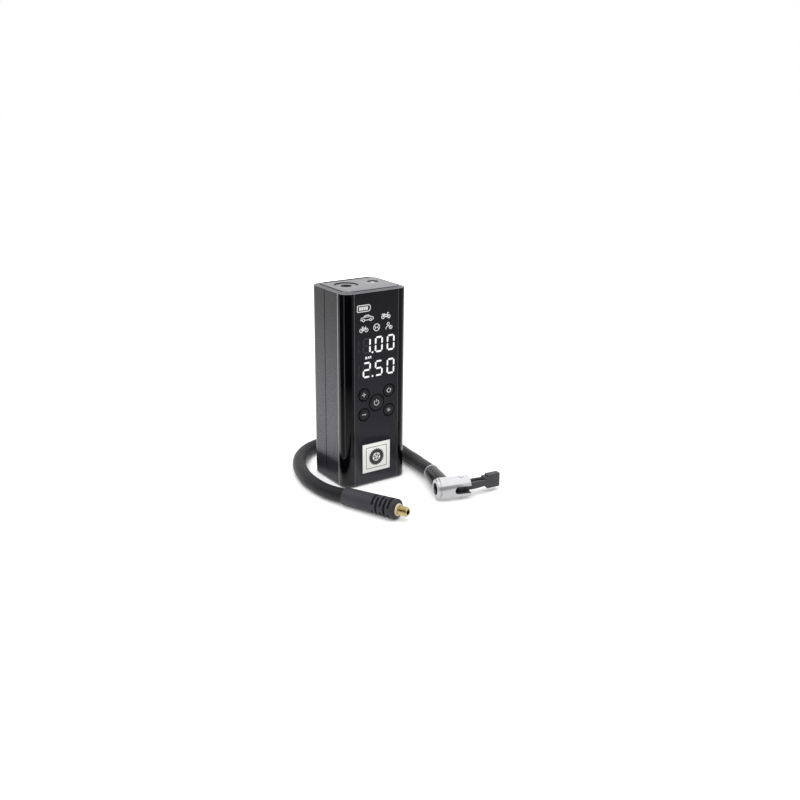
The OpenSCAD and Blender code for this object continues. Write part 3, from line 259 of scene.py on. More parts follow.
def make_textured():
    """Grained side wall: diamond rows of raised dots that fade towards the top, over a smooth lower band. The
    dots' light colour is a painted highlight, and the wall's colour is painted lighter towards its foot as
    painted light.
    """
    paint = Paint("textured_black", (0.008, 0.008, 0.009), 0.35, ior=1.33)
    axes = paint.node("ShaderNodeSeparateXYZ")
    paint.link(paint.place(), axes.inputs[0])
    before_back = paint.math("SUBTRACT", case_back, axes.outputs[1])
    folded = paint.math("MULTIPLY", paint.math("SIGN", axes.outputs[0]), before_back)
    around = paint.math("ADD", axes.outputs[0], folded)
    row = paint.math("DIVIDE", paint.math("ADD", axes.outputs[2], around), DOT_PITCH)
    column = paint.math("DIVIDE", paint.math("SUBTRACT", axes.outputs[2], around), DOT_PITCH)
    wave = paint.math(
        "MULTIPLY",
        paint.math("SINE", paint.math("MULTIPLY", row, math.pi)),
        paint.math("SINE", paint.math("MULTIPLY", column, math.pi)),
    )
    dots = paint.math("POWER", paint.math("ABSOLUTE", wave), 1.5)
    fade_in = paint.spread(axes.outputs[2], *DOTS_BEGIN, 0, 1)
    fade_out = paint.spread(axes.outputs[2], *DOTS_FADE, 0.12, 1)
    dots_and_highlight = paint.math("MULTIPLY", dots, paint.math("MULTIPLY", fade_in, fade_out))
    # painted light: the wall's colour lightens towards its foot
    lower = paint.spread(axes.outputs[2], *SIDE_LIGHT_FADE, 0, 1)
    paint.vary_color(lower, (0.026, 0.026, 0.031))
    # painted highlight: the raised dots are coloured much lighter than the black wall
    paint.vary_color(dots_and_highlight, (0.19, 0.19, 0.21))
    paint.vary_roughness(dots_and_highlight, 0.22, 0.5)
    paint.bump(dots_and_highlight, 0.00012, 0.5)
    paint.bump(paint.noise(0.0008, 3), 0.00001)
    return paint.material


def make_braid():
    """Braided hose cover: fine strands along the hose, crossed by others, from the tube's own UV map. The
    strands' lighter colour is a painted sheen along the hose.
    """
    paint = Paint("hose_braid", (0.003, 0.003, 0.004), 0.34, ior=1.33)
    uv = paint.node("ShaderNodeSeparateXYZ")
    paint.link(paint.node("ShaderNodeTexCoord").outputs["UV"], uv.inputs[0])
    twist = paint.math("ADD", uv.outputs[0], paint.math("MULTIPLY", uv.outputs[1], 0.15))
    along = paint.math("ABSOLUTE", paint.math("SINE", paint.math("MULTIPLY", twist, math.pi)))
    across = paint.math("ABSOLUTE", paint.math("SINE", paint.math("MULTIPLY", uv.outputs[1], math.pi)))
    strands = paint.math("MULTIPLY", along, paint.math("ADD", paint.math("MULTIPLY", across, 0.5), 0.5))
    # painted sheen: the strands are coloured lighter than the hose
    paint.vary_color(strands, (0.016, 0.016, 0.019))
    paint.vary_roughness(strands, 0.55, 0.26)
    paint.bump(strands, 0.00022, 0.7)
    return paint.material


def make_glow(name, color, strength):
    """Lit sign or lamp, very nearly even in its brightness."""
    paint = Paint(name, (0.05, 0.05, 0.05), 0.3)
    paint.shader.inputs["Emission Color"].default_value = (*color, 1)
    paint.link(
        paint.spread(paint.noise(0.004, 1), 0, 1, strength * 0.96, strength * 1.04),
        paint.shader.inputs["Emission Strength"],
    )
    return paint.material


def make_lens():
    """Clear moulded lens with fine optical ripples."""
    paint = Paint("lens_clear", (0.95, 0.97, 1.0), 0.08, ior=1.45)
    paint.shader.inputs["Transmission Weight"].default_value = 0.85
    paint.bump(paint.noise(0.001, 2), 0.00004)
    return paint.material


gloss_black = make_gloss()
panel_black = make_panel()
textured_black = make_textured()
hose_braid = make_braid()
lens_clear = make_lens()
glow_white = make_glow("glow_white", (1, 1, 1), 1.0)
glow_icon = make_glow("glow_icon", (1, 1, 1), 0.66)
glow_lamp = make_glow("glow_lamp", (1, 0.98, 0.94), 0.8)
plate_grey = moulded("plate_grey", (0.18, 0.18, 0.19), 0.42, 0.0004, 0.00003, 0.12)
rim_grey = moulded("rim_grey", (0.10, 0.10, 0.108), 0.32, 0.0004, 0.00002, 0.15)
painted_rim_highlight = moulded("painted_rim_highlight", (0.62, 0.62, 0.65), 0.3, 0.0004, 0.00001, 0.1)
# painted highlights: grey bands along edges that catch the light
cover_edge_highlight = moulded("cover_edge_highlight", (0.30, 0.30, 0.31), 0.3, 0.0005, 0.00001, 0.1)
panel_edge_highlight = moulded("panel_edge_highlight", (0.10, 0.10, 0.105), 0.3, 0.0005, 0.00001, 0.1)
groove_black = moulded("groove_black", (0.008, 0.008, 0.009), 0.6)
base_black = moulded("base_black", (0.02, 0.02, 0.022), 0.4)
foot_rubber = moulded("foot_rubber", (0.02, 0.02, 0.02), 0.75)
# painted shade: a near-black, barely reflecting finish for sheets laid where there is only shade
painted_shade_black = moulded("painted_shade_black", (0.001, 0.001, 0.001), 0.9, ior=1.1)
slot_shade = moulded("slot_shade", (0.04, 0.04, 0.043), 0.6)
button_black = moulded("button_black", (0.006, 0.006, 0.007), 0.22, 0.0005, 0.000005, 0.2)
icon_grey = moulded("icon_grey", (0.50, 0.50, 0.52), 0.4, 0.0005, 0.000003, 0.1)
ghost_grey = moulded("ghost_grey", (0.022, 0.022, 0.027), 0.25, 0.0006, 0.000002, 0.1)
badge_white = moulded("badge_white", (0.84, 0.84, 0.80), 0.5, 0.0004, 0.00001, 0.06)
badge_ink = moulded("badge_ink", (0.022, 0.022, 0.02), 0.5, 0.0004, 0.00001, 0.3)
grip_rubber = moulded("grip_rubber", (0.026, 0.025, 0.031), 0.55, 0.0005, 0.00004, 0.25)
ferrule_black = moulded("ferrule_black", (0.012, 0.012, 0.013), 0.3, 0.0006, 0.00001, 0.25)
lever_black = moulded("lever_black", (0.045, 0.044, 0.050), 0.45, 0.0006, 0.00003, 0.2)
seal_rubber = moulded("seal_rubber", (0.012, 0.012, 0.012), 0.6)
washer_white = moulded("washer_white", (0.66, 0.60, 0.48), 0.4)
chrome = machined("chrome", (0.86, 0.86, 0.88), 0.14, metallic=0.72)
brass = machined("brass", (0.90, 0.72, 0.36), 0.22, (4, 4, 1), 0.00001)
steel = machined("steel", (0.58, 0.58, 0.60), 0.3, (1, 1, 6))
alloy = machined("alloy", (0.68, 0.69, 0.71), 0.45, (1, 1, 1), 0.00003)
copper = machined("copper", (0.72, 0.36, 0.18), 0.35, (1, 8, 8), 0.00005)
magnet = moulded("magnet", (0.10, 0.10, 0.11), 0.6, 0.0008, 0.00005)
board_green = moulded("board_green", (0.02, 0.13, 0.06), 0.35, 0.002, 0.00003, 0.4)
switch_grey = moulded("switch_grey", (0.15, 0.15, 0.15), 0.5)
cell_blue = moulded("cell_blue", (0.05, 0.2, 0.42), 0.3, 0.001, 0.00001, 0.15)
natural = moulded("natural", (0.66, 0.64, 0.58), 0.45, 0.0008, 0.00002, 0.08)
pale = moulded("pale", (0.78, 0.78, 0.75), 0.5)

# What the solids that keep their own mesh are made of.
CAD_FINISH = (
    (textured_black, "mid_frame rear_cover"),
    (base_black, "bottom_cap"),
    (foot_rubber, "feet"),
    (steel, (
        "case_screws board_screws charge_socket cell_straps motor_can motor_screws motor_shaft "
        "frame_screws gear_axle axle_clip valve_plate head_screws wrist_pin crank_pin"
    )),
    (board_green, "control_board power_board"),
    (switch_grey, "tact_switches"),
    (pale, "display_module lamp_board"),
    (cell_blue, "battery_cells"),
    (natural, "battery_cradle motor_end_bell crank_gear piston"),
    (lens_clear, "lamp_lens"),
    (groove_black, "outlet_port"),
    (seal_rubber, "air_tube piston_seal chuck_seal"),
    (magnet, "motor_magnets"),
    (brass, "motor_bushes pinion"),
    (copper, "rotor"),
    (alloy, "pump_frame pump_cylinder cylinder_head connecting_rod"),
)


for cad_material, cad_names in CAD_FINISH:
    for cad_name in cad_names.split():
        finish(nodes[cad_name], cad_material)


# ---------- mesh helpers ----------

SOFT_STEPS, SOFT_ANGLE = 3, 30
SMOOTH_ANGLE = 35


def add_piece(name, mesh, material, body="case"):
    """Puts a finished mesh in the scene, riding on a body."""
    piece = add_object(name, mesh)
    finish(piece, material)
    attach(piece, body)
    return piece


def from_bmesh(name, work):
    """Closes the work and gives it as a mesh."""
    bmesh.ops.recalc_face_normals(work, faces=work.faces)
    mesh = bpy.data.meshes.new(name)
    work.to_mesh(mesh)
    work.free()
    return mesh


def shade_smooth(mesh, angle=SMOOTH_ANGLE):
    """Smooth shading, kept sharp where two faces meet at more than the angle, in degrees."""
    for face in mesh.polygons:
        face.use_smooth = True
    mesh.set_sharp_from_angle(angle=math.radians(angle))


def softened(name, cad_name, material, width, body="case"):
    """Stands for a CAD node with its own shape, with every hard edge rounded."""
    source = nodes[cad_name]
    work = bmesh.new()
    work.from_mesh(source.data)
    bmesh.ops.remove_doubles(work, verts=work.verts, dist=0.000002)
    bmesh.ops.dissolve_limit(
        work, angle_limit=math.radians(1), verts=work.verts, edges=work.edges, use_dissolve_boundaries=False
    )
    piece = add_piece(name, from_bmesh(name, work), material, body)
    bevel = piece.modifiers.new("bevel", "BEVEL")
    bevel.width = width
    bevel.segments = SOFT_STEPS
    bevel.limit_method = "ANGLE"
    bevel.angle_limit = math.radians(SOFT_ANGLE)
    bevel.use_clamp_overlap = True
    apply_modifiers(piece)
    shade_smooth(piece.data)
    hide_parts(cad_name)
    return piece


def highlight_band(piece, place, beyond, material):
    """Paints what lies beyond a plane in another material, with a clean line between the two: a painted
    highlight along an edge.
    """
    work = bmesh.new()
    work.from_mesh(piece.data)
    everything = [*work.verts, *work.edges, *work.faces]
    bmesh.ops.bisect_plane(work, geom=everything, plane_co=place, plane_no=beyond, dist=0.000001)
    if material.name not in piece.data.materials:
        piece.data.materials.append(material)
    slot = piece.data.materials.find(material.name)
    for face in work.faces:
        if (face.calc_center_median() - place).dot(beyond) > 0:
            face.material_index = slot
    work.to_mesh(piece.data)
    work.free()


def tint_faces(piece, material, chosen):
    """Gives the faces that chosen(centre, normal) picks another material; here it paints shade and
    highlights.
    """
    piece.data.materials.append(material)
    slot = len(piece.data.materials) - 1
    for face in piece.data.polygons:
        if chosen(face.center, face.normal):
            face.material_index = slot


def apply_modifiers(piece):
    """Bakes the piece's modifiers into its mesh."""
    bpy.context.view_layer.update()
    view = piece.evaluated_get(bpy.context.evaluated_depsgraph_get())
    mesh = bpy.data.meshes.new_from_object(view)
    materials = list(piece.data.materials)
    piece.modifiers.clear()
    piece.data = mesh
    mesh.materials.clear()
    for material in materials:
        mesh.materials.append(material)


def circle(radius, sides):
    """Points round the origin, in plan."""
    turns = [2 * math.pi * k / sides for k in range(sides)]
    return [(radius * math.cos(turn), radius * math.sin(turn)) for turn in turns]


def join_rows(work, low, high):
    """Closed strip of faces between two rings; a ring of one point gives a fan."""
    count = max(len(low), len(high))
    faces = []
    for k in range(count):
        places = ((low, k), (low, k + 1), (high, k + 1), (high, k))
        corners = [ring[at % len(ring)] for ring, at in places]
        faces.append(work.faces.new(dict.fromkeys(corners)))
    return faces


def lathe(profile, sides):
    """Surface of revolution about +Z through (radius, height) points; a radius of 0 closes it."""
    work = bmesh.new()
    rings = []
    for radius, height in profile:
        points = circle(radius, sides) if radius else [(0, 0)]
        rings.append([work.verts.new((x, y, height)) for x, y in points])
    for low, high in zip(rings, rings[1:]):
        join_rows(work, low, high)
    return work


def rounded_corner(radius, height, turn, size, steps=6):
    """Points of a quarter circle that rounds the outer corner of a turned shape."""
    start, end = turn
    turns = [math.radians(start + (end - start) * k / steps) for k in range(steps + 1)]
    return [(radius - size + size * math.cos(a), height + size * math.sin(a)) for a in turns]


# ---------- hose ----------

HOSE_DIAMETER, HOSE_SIDES, HOSE_STRAND = 12 * MM, 64, 1.1 * MM
GRIP_START = (-46.5, -51.8, 7.5)
FERRULE_END = (41, -52.9, 9.6)
HOSE_ROUTE = [
    GRIP_START, (-50.7, -40, 6.7), (-53.1, -29, 6.2), (-54.1, -17, 6.2), (-53.6, -3, 6.2), (-51, 11, 6.2),
    (-46.5, 25, 6.2), (-40, 38, 6.2), (-31, 50, 6.2), (-20, 59.2, 6.2), (-7, 64.8, 6.2), (7.9, 66.1, 6.2),
    (22.5, 62.7, 6.2), (35.5, 54.7, 6.2), (45.2, 43, 6.2), (50.9, 28.6, 6.2), (52.3, 13, 6.2),
    (50.4, -3, 6.2), (49.2, -17, 6.5), (46.5, -30, 7.3), (43.7, -41.6, 8.6), FERRULE_END,
]
ROUTE_STEPS = 8
GRIP_YAW, GRIP_FALL, GRIP_LENGTH = -67.7, 88.7, 52 * MM
CHUCK_YAW = -18


def heading(yaw, fall=90):
    """Direction with a yaw about Z and a fall from straight up, in degrees."""
    yaw, fall = math.radians(yaw), math.radians(fall)
    return Vector((math.sin(fall) * math.cos(yaw), math.sin(fall) * math.sin(yaw), math.cos(fall)))


def smooth_route(points, start_dir, end_dir):
    """Catmull-Rom curve through the route's points in millimetres, straight at both ends."""
    route = [Vector(p) * MM for p in points]
    before = route[0] - start_dir * (route[1] - route[0]).length
    after = route[-1] + end_dir * (route[-1] - route[-2]).length
    full = [before, *route, after]
    path = []
    for p0, p1, p2, p3 in zip(full, full[1:], full[2:], full[3:]):
        for step in range(ROUTE_STEPS):
            t = step / ROUTE_STEPS
            path.append(0.5 * (
                2 * p1 + (p2 - p0) * t + (2 * p0 - 5 * p1 + 4 * p2 - p3) * t**2
                + (3 * p1 - p0 - 3 * p2 + p3) * t**3
            ))
    return [*path, route[-1]]


def hose_mesh(path, radius):
    """Tube along a path, with a UV map that counts braid strands round it and along it."""
    work = bmesh.new()
    uv = work.loops.layers.uv.new("braid")
    rings, along = [], [0.0]
    for here, there in zip(path, path[1:]):
        along.append(along[-1] + (there - here).length)
    for i, point in enumerate(path):
        ahead = (path[min(i + 1, len(path) - 1)] - path[max(i - 1, 0)]).normalized()
        side = ahead.cross(Vector((0, 0, 1))).normalized()
        top = side.cross(ahead)
        rings.append([work.verts.new(point + x * side + y * top) for x, y in circle(radius, HOSE_SIDES)])
    around = round(2 * math.pi * radius / HOSE_STRAND)
    for i in range(len(rings) - 1):
        for k, face in enumerate(join_rows(work, rings[i], rings[i + 1])):
            face.smooth = True
            corners = ((k, i), (k + 1, i), (k + 1, i + 1), (k, i + 1))
            for loop, (a, b) in zip(face.loops, corners):
                loop[uv].uv = (a / HOSE_SIDES * around, along[b] / HOSE_STRAND)
    work.faces.new(list(reversed(rings[0])))
    work.faces.new(rings[-1])
    return from_bmesh("hose_tube", work)


def make_hose():
    """The braided hose, its middle line and that line's length."""
    path = smooth_route(HOSE_ROUTE, -heading(GRIP_YAW, GRIP_FALL), -heading(CHUCK_YAW + 90))
    hose = add_piece("hose_tube", hose_mesh(path, HOSE_DIAMETER / 2), hose_braid)
    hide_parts("hose")
    length = sum((b - a).length for a, b in zip(path, path[1:]))
    return hose, path, length


hose, hose_path, hose_length = make_hose()


# ---------- grip ----------

GRIP_SMALL, GRIP_LARGE, GRIP_SIDES = 7.4 * MM, 8.5 * MM, 128
RELIEF_COUNT, RELIEF_FIRST, RELIEF_PITCH = 5, 4.8 * MM, 3.9 * MM
RELIEF_WIDTH, RELIEF_CORE, RELIEF_WEB = 1.9 * MM, 5.3 * MM, 1.6 * MM


def on_grip(mesh):
    """Moves a mesh made along +Z to the grip's axis, from its hose end."""
    turn = Matrix.Rotation(math.radians(GRIP_YAW), 4, "Z") @ Matrix.Rotation(math.radians(GRIP_FALL), 4, "Y")
    mesh.transform(Matrix.Translation(Vector(GRIP_START) * MM) @ turn)
    return mesh


def relief_cutter(height, sideways):
    """Two opposite arc slots, which leave a core and two webs."""
    work = bmesh.new()
    steps = 24
    reach = math.asin(RELIEF_WEB / RELIEF_CORE)
    for side in (-1, 1):
        lower, upper = [], []
        for radius in (RELIEF_CORE, GRIP_LARGE + 3 * MM):
            for k in range(steps + 1):
                angle = reach + (math.pi - 2 * reach) * k / steps
                x, y = radius * math.cos(angle), side * radius * math.sin(angle)
                if sideways:
                    x, y = y, -x
                lower.append(work.verts.new((x, y, height - RELIEF_WIDTH / 2)))
                upper.append(work.verts.new((x, y, height + RELIEF_WIDTH / 2)))
        n = steps + 1
        for k in range(steps):
            work.faces.new((lower[k], lower[k + 1], lower[n + k + 1], lower[n + k]))
            work.faces.new((upper[k], upper[n + k], upper[n + k + 1], upper[k + 1]))
            work.faces.new((lower[k], upper[k], upper[k + 1], lower[k + 1]))
            work.faces.new((lower[n + k], lower[n + k + 1], upper[n + k + 1], upper[n + k]))
        for k in (0, steps):
            work.faces.new((lower[k], lower[n + k], upper[n + k], upper[k]))
    return add_object("cutter", from_bmesh("cutter", work))


def make_grip():
    """Tapered rubber grip with staggered relief slots and soft ends."""
    start_round, end_round, seat_radius, seat_depth = 0.8 * MM, 1.5 * MM, 4.4 * MM, 0.4 * MM
    profile = [(0, 0), *rounded_corner(GRIP_SMALL, start_round, (-90, 0), start_round)]
    profile += [(GRIP_SMALL + (GRIP_LARGE - GRIP_SMALL) * t, GRIP_LENGTH * t) for t in (0.2, 0.4, 0.6, 0.8)]
    profile += rounded_corner(GRIP_LARGE, GRIP_LENGTH - end_round, (0, 90), end_round)
    profile += [(seat_radius + seat_depth / 2, GRIP_LENGTH), (seat_radius, GRIP_LENGTH - seat_depth)]
    profile.append((0, GRIP_LENGTH - seat_depth))
    grip = add_object("grip_soft", from_bmesh("grip_soft", lathe(profile, GRIP_SIDES)))
    cutters = []
    for i in range(RELIEF_COUNT):
        cutters.append(relief_cutter(GRIP_LENGTH - RELIEF_FIRST - RELIEF_PITCH * i, i % 2 == 0))
    for cutter in cutters:
        cut = grip.modifiers.new("slot", "BOOLEAN")
        cut.operation = "DIFFERENCE"
        cut.solver = "EXACT"
        cut.object = cutter
    bevel = grip.modifiers.new("bevel", "BEVEL")
    bevel.width = 0.25 * MM
    bevel.segments = 2
    bevel.limit_method = "ANGLE"
    bevel.angle_limit = math.radians(50)
    apply_modifiers(grip)
    for cutter in cutters:
        bpy.data.objects.remove(cutter)
    on_grip(grip.data)
    shade_smooth(grip.data, 40)
    finish(grip, grip_rubber)
    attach(grip, "case")
    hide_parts("hose_grip")
    return grip


def make_fitting():
    """Brass end: a neck inside the grip, a plain collar, a thread of turned rings and a lead-in."""
    seat, length, pitch = GRIP_LENGTH + 1 * MM, 8.8 * MM, 1 * MM
    crest, root, neck, bore = 3.95 * MM, 3.45 * MM, 3.4 * MM, 2.1 * MM
    sunk, collar, sides = seat - 6 * MM, seat + 1.6 * MM, 96
    profile = [(bore, sunk), (neck, sunk), (neck, seat), (crest, seat), (crest, collar)]
    profile.append((root, collar + 0.4 * pitch))
    height = collar + 0.5 * pitch
    while height < seat + length - 1.1 * MM:
        profile += [(root, height), (crest, height + 0.4 * pitch), (crest, height + 0.55 * pitch)]
        height += pitch
    profile += [(root, height), (root - 0.2 * MM, seat + length), (bore + 0.3 * MM, seat + length)]
    profile += [(bore, seat + length - 0.3 * MM), (bore, sunk)]
    mesh = on_grip(from_bmesh("thread_end", lathe(profile, sides)))
    shade_smooth(mesh, 25)
    fitting = add_piece("thread_end", mesh, brass)
    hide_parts("hose_fitting")
    return fitting


grip = make_grip()
fitting = make_fitting()
washer = softened("washer", "fitting_seal", washer_white, 0.2 * MM)


# ---------- chuck ----------

CHUCK_RADIUS, CHUCK_SKIN, MOUTH_DEPTH = 9.2 * MM, 0.9 * MM, 4 * MM
MOUTH_RING, MOUTH_LIP = (3.6 * MM, 5.0 * MM), 0.03 * MM
mouth_axis = heading(CHUCK_YAW)
seal_centre = centre("chuck_seal")


def behind_seal(place):
    """How far a place lies behind the seal's middle, along the mouth's axis."""
    return (place - seal_centre).dot(mouth_axis)


def inside_chuck(place, normal):
    """True for the walls of the chuck's slot and notch, within its outer skin."""
    from_axis = place - seal_centre - behind_seal(place) * mouth_axis
    sideways = abs(normal.dot(mouth_axis)) < 0.9
    return behind_seal(place) > MOUTH_DEPTH and from_axis.length < CHUCK_RADIUS - CHUCK_SKIN and sideways


def make_mouth_ring():
    """Near-black ring round the hole that the valve goes into: painted shade that makes the dark mouth read
    wider.
    """
    front = min(behind_seal(vert.co) for vert in nodes["chuck_body"].data.vertices)
    mouth = seal_centre + (front - MOUTH_LIP) * mouth_axis
    side, up = Vector((-mouth_axis.y, mouth_axis.x, 0)), Vector((0, 0, 1))
    work = bmesh.new()
    inner, outer = (
        [work.verts.new(mouth + x * side + y * up) for x, y in circle(radius, 48)] for radius in MOUTH_RING
    )
    join_rows(work, inner, outer)
    bmesh.ops.solidify(work, geom=work.faces[:], thickness=MOUTH_LIP)
    return add_piece("mouth_ring", from_bmesh("mouth_ring", work), painted_shade_black)


ferrule = softened("ferrule", "hose_ferrule", ferrule_black, 0.25 * MM)
crimp = softened("crimp", "crimp_ring", chrome, 0.3 * MM)
chuck = softened("chuck", "chuck_body", chrome, 0.28 * MM)
tint_faces(chuck, slot_shade, inside_chuck)
pin = softened("pin", "lever_pin", chrome, 0.3 * MM)
lever = softened("lever", "chuck_lever", lever_black, 0.35 * MM, body="lever")
mouth_ring = make_mouth_ring()


# ---------- case ----------

KEYS = ("plus", "minus", "power", "mode", "light")
EDGE_BAND = 0.9 * MM
PANEL_EDGE = 0.35 * MM
RIM_DROP = 2.2 * MM
PLATE_MARGIN = 0.9 * MM


def on_cap_edge(place, normal):
    """True for the rounded edge round the top of the rim, which gets a painted highlight."""
    return 0.15 < normal.z < 0.93 and place.z > cap_top - RIM_DROP


def in_plate_hole(place, normal):
    """Walls of the vents, the outlet and the dish, but not the plate's own outline: these get painted shade.
    """
    inset = min(place.x - plate_low.x, plate_high.x - place.x, place.y - plate_low.y, plate_high.y - place.y)
    return abs(normal.z) < 0.85 and inset > PLATE_MARGIN


cover = softened("cover", "front_cover", gloss_black, 0.2 * MM)
panel = softened("panel", "display_panel", panel_black, 0.35 * MM)
# painted highlights: light bands along the cover's back edge and the panel's two side edges
highlight_band(cover, Vector((0, cover_high.y - EDGE_BAND, 0)), Vector((0, 1, 0)), cover_edge_highlight)
highlight_band(panel, Vector((panel_low.x + PANEL_EDGE, 0, 0)), Vector((-1, 0, 0)), panel_edge_highlight)
highlight_band(panel, Vector((panel_high.x - PANEL_EDGE, 0, 0)), Vector((1, 0, 0)), panel_edge_highlight)
cap = softened("cap", "top_cap", rim_grey, 0.45 * MM)
plate = softened("plate", "top_plate", plate_grey, 0.12 * MM)
# painted highlight: the rim's rounded top edge is coloured light grey
tint_faces(cap, painted_rim_highlight, on_cap_edge)
# painted shade: the walls of the plate's holes and dish are coloured black
tint_faces(plate, groove_black, in_plate_hole)
softened("badge", "badge_plate", badge_white, 0.12 * MM)
for key in KEYS:
    softened(f"key_{key}", f"button_{key}", button_black, 0.3 * MM, f"button_{key}")


# ---------- display and key marks ----------

MARK_DEPTH = 0.03 * MM
RING_WIDTH, RING_INSET, RING_SINK = 0.9, 0.1, 0.012 * MM
PLATE_RADIUS, GROOVE_FLAT = 5 * MM, 0.6 * MM
GROOVE_WIDTH, GROOVE_DROP = 1.7 * MM, 0.28 * MM
VENT_COUNT, VENT_PITCH, VENT_SIZE, VENT_INSET = 22, 2.1 * MM, (1.1 * MM, 1.8 * MM), 1.4 * MM
# size and inset of the painted shade round each air slot
VENT_SHADE_SIZE, VENT_SHADE_INSET = (1.6 * MM, 4.0 * MM), VENT_INSET / 3


def flat_mark(name, shapes, material, face_y, body="case"):
    """Thin mark on the display side, from outlines in millimetres (x, z); it carries print, lit signs and
    painted shade.
    """
    work = bmesh.new()
    for outline in shapes:
        front = [work.verts.new((x * MM, face_y - MARK_DEPTH, z * MM)) for x, z in outline]
        back = [work.verts.new((x * MM, face_y, z * MM)) for x, z in outline]
        work.faces.new(front)
        work.faces.new(list(reversed(back)))
        n = len(outline)
        for k in range(n):
            work.faces.new((front[k], back[k], back[(k + 1) % n], front[(k + 1) % n]))
    add_piece(name, from_bmesh(name, work), material, body)


def face_mark(name, cad_name, shapes, material, body="case"):
    """Mark on the front of a CAD node, from outlines about the middle of its face."""
    low, high = box(cad_name)
    x, z = (low.x + high.x) / 2 / MM, (low.z + high.z) / 2 / MM
    flat_mark(name, [[(x + a, z + b) for a, b in shape] for shape in shapes], material, low.y, body)


def bar(x0, z0, x1, z1, width):
    """Bar between two points, as an outline."""
    along = Vector((x1 - x0, z1 - z0)).normalized() * width / 2
    side = Vector((-along.y, along.x))
    a, b = Vector((x0, z0)), Vector((x1, z1))
    return [a + side, a - side, b - side, b + side]


def arc(x, z, radius, width, start, end, steps=20):
    """Pieces of a ring between two angles, as short outlines."""
    parts = []
    inner, outer = radius - width / 2, radius + width / 2
    for k in range(steps):
        a, b = (math.radians(start + (end - start) * at / steps) for at in (k, k + 1))
        corners = ((inner, a), (outer, a), (outer, b), (inner, b))
        parts.append([(x + reach * math.cos(turn), z + reach * math.sin(turn)) for reach, turn in corners])
    return parts


def disc(x, z, radius, sides=24):
    return [(x + a, z + b) for a, b in circle(radius, sides)]


def polyline(points, width):
    """Stroke through points, with discs at its joints."""
    parts = [bar(*a, *b, width) for a, b in zip(points, points[1:])]
    return parts + [disc(x, z, width / 2, 12) for x, z in points]


def segment(x0, z0, x1, z1, width, gap=0.35):
    """One display segment with pointed ends."""
    start, end = Vector((x0, z0)), Vector((x1, z1))
    along = (end - start).normalized()
    side = Vector((-along.y, along.x)) * width / 2
    start, end = start + along * gap, end - along * gap
    tip = along * width / 2
    return [start, start + tip + side, end - tip + side, end, end - tip - side, start + tip - side]


SEGMENTS = {"0": "abcdef", "1": "bc", "2": "abged", "5": "afgcd"}
DIGIT_W, DIGIT_H, DIGIT_STROKE, DIGIT_SLANT = 6.4, 12.2, 1.55, 0.02
DIGIT_X = (-13.1, -1.1, 10.8)
READINGS = (("100", 119.0), ("250", 98.2))


def digit(value, x, z):
    """Outlines of the lit segments of one seven-segment digit, and of those that stay dark."""
    width, height, half = DIGIT_W, DIGIT_H, DIGIT_H / 2
    ends = {
        "a": (0, height, width, height), "b": (width, height, width, half), "c": (width, half, width, 0),
        "d": (0, 0, width, 0), "e": (0, half, 0, 0), "f": (0, height, 0, half), "g": (0, half, width, half),
    }
    lit, dark = [], []
    for key, (x0, z0, x1, z1) in ends.items():
        left, right = x + x0 + DIGIT_SLANT * z0, x + x1 + DIGIT_SLANT * z1
        shape = segment(left, z + z0, right, z + z1, DIGIT_STROKE)
        (lit if key in SEGMENTS[value] else dark).append(shape)
    return lit, dark


def make_readings():
    """Two readings with their points, and the unlit segments that show faintly beside them."""
    lit, ghost = [], []
    for text, z in READINGS:
        for value, x in zip(text, DIGIT_X):
            on, off = digit(value, x, z)
            lit += on
            if value in "12":
                ghost += off
        lit.append(disc(-4.1, z - 0.1, 0.85))
        ghost += [segment(-17.6, z + 0.5, -17.6, z + 5.6, 0.9), segment(-17.6, z + 6.4, -17.6, z + 11.6, 0.9)]
    flat_mark("reading", lit, glow_white, panel_face)
    flat_mark("reading_off", ghost, ghost_grey, panel_face)


def make_unit():
    """The pressure unit's three small letters, as strokes measured in letter heights."""
    left, foot, height, width = -10.9, 114.0, 1.75, 0.45
    strokes = (
        ((0, 0), (0, 1), (0.55, 1), (0.65, 0.75), (0.5, 0.5), (0, 0.5)),
        ((0.5, 0.5), (0.7, 0.25), (0.55, 0), (0, 0)),
        ((1.15, 0), (1.55, 1), (1.95, 0)),
        ((1.3, 0.35), (1.8, 0.35)),
        ((2.4, 0), (2.4, 1), (2.95, 1), (3.1, 0.7), (2.9, 0.5), (2.4, 0.5)),
        ((2.75, 0.5), (3.1, 0)),
    )
    parts = []
    for stroke in strokes:
        parts += polyline([(left + x * height, foot + z * height) for x, z in stroke], width)
    flat_mark("unit_mark", parts, glow_white, panel_face)


def icon(name, shapes, factor):
    """Small lit sign on the panel, scaled about its own middle."""
    xs = [point[0] for shape in shapes for point in shape]
    zs = [point[1] for shape in shapes for point in shape]
    middle = Vector((min(xs) + max(xs), min(zs) + max(zs))) / 2
    shapes = [[middle + (Vector(point) - middle) * factor for point in shape] for shape in shapes]
    flat_mark(name, shapes, glow_icon, panel_face)


def make_battery_mark():
    """Battery with four bars, rounder at its right end."""
    x0, x1, z0, z1, w = -18.9, -6.2, 154.7, 160.0, 0.75
    small, large = 0.9, 2.2
    parts = polyline([(x0, z0 + small), (x0, z1 - small)], w)
    parts += polyline([(x1, z0 + large), (x1, z1 - large)], w)
    for z, inward in ((z0, 1), (z1, -1)):
        parts += polyline([(x0 + small, z), (x1 - large, z)], w)
        parts += arc(x0 + small, z + inward * small, small, w, 180, 180 + inward * 90, 6)
        parts += arc(x1 - large, z + inward * large, large, w, 0, -inward * 90, 10)
    for k in range(4):
        left = x0 + 1.6 + k * 2.25
        parts.append([(left, z0 + 1.2), (left + 1.9, z0 + 1.2), (left + 1.9, z1 - 1.2), (left, z1 - 1.2)])
    icon("battery_mark", parts, 1)


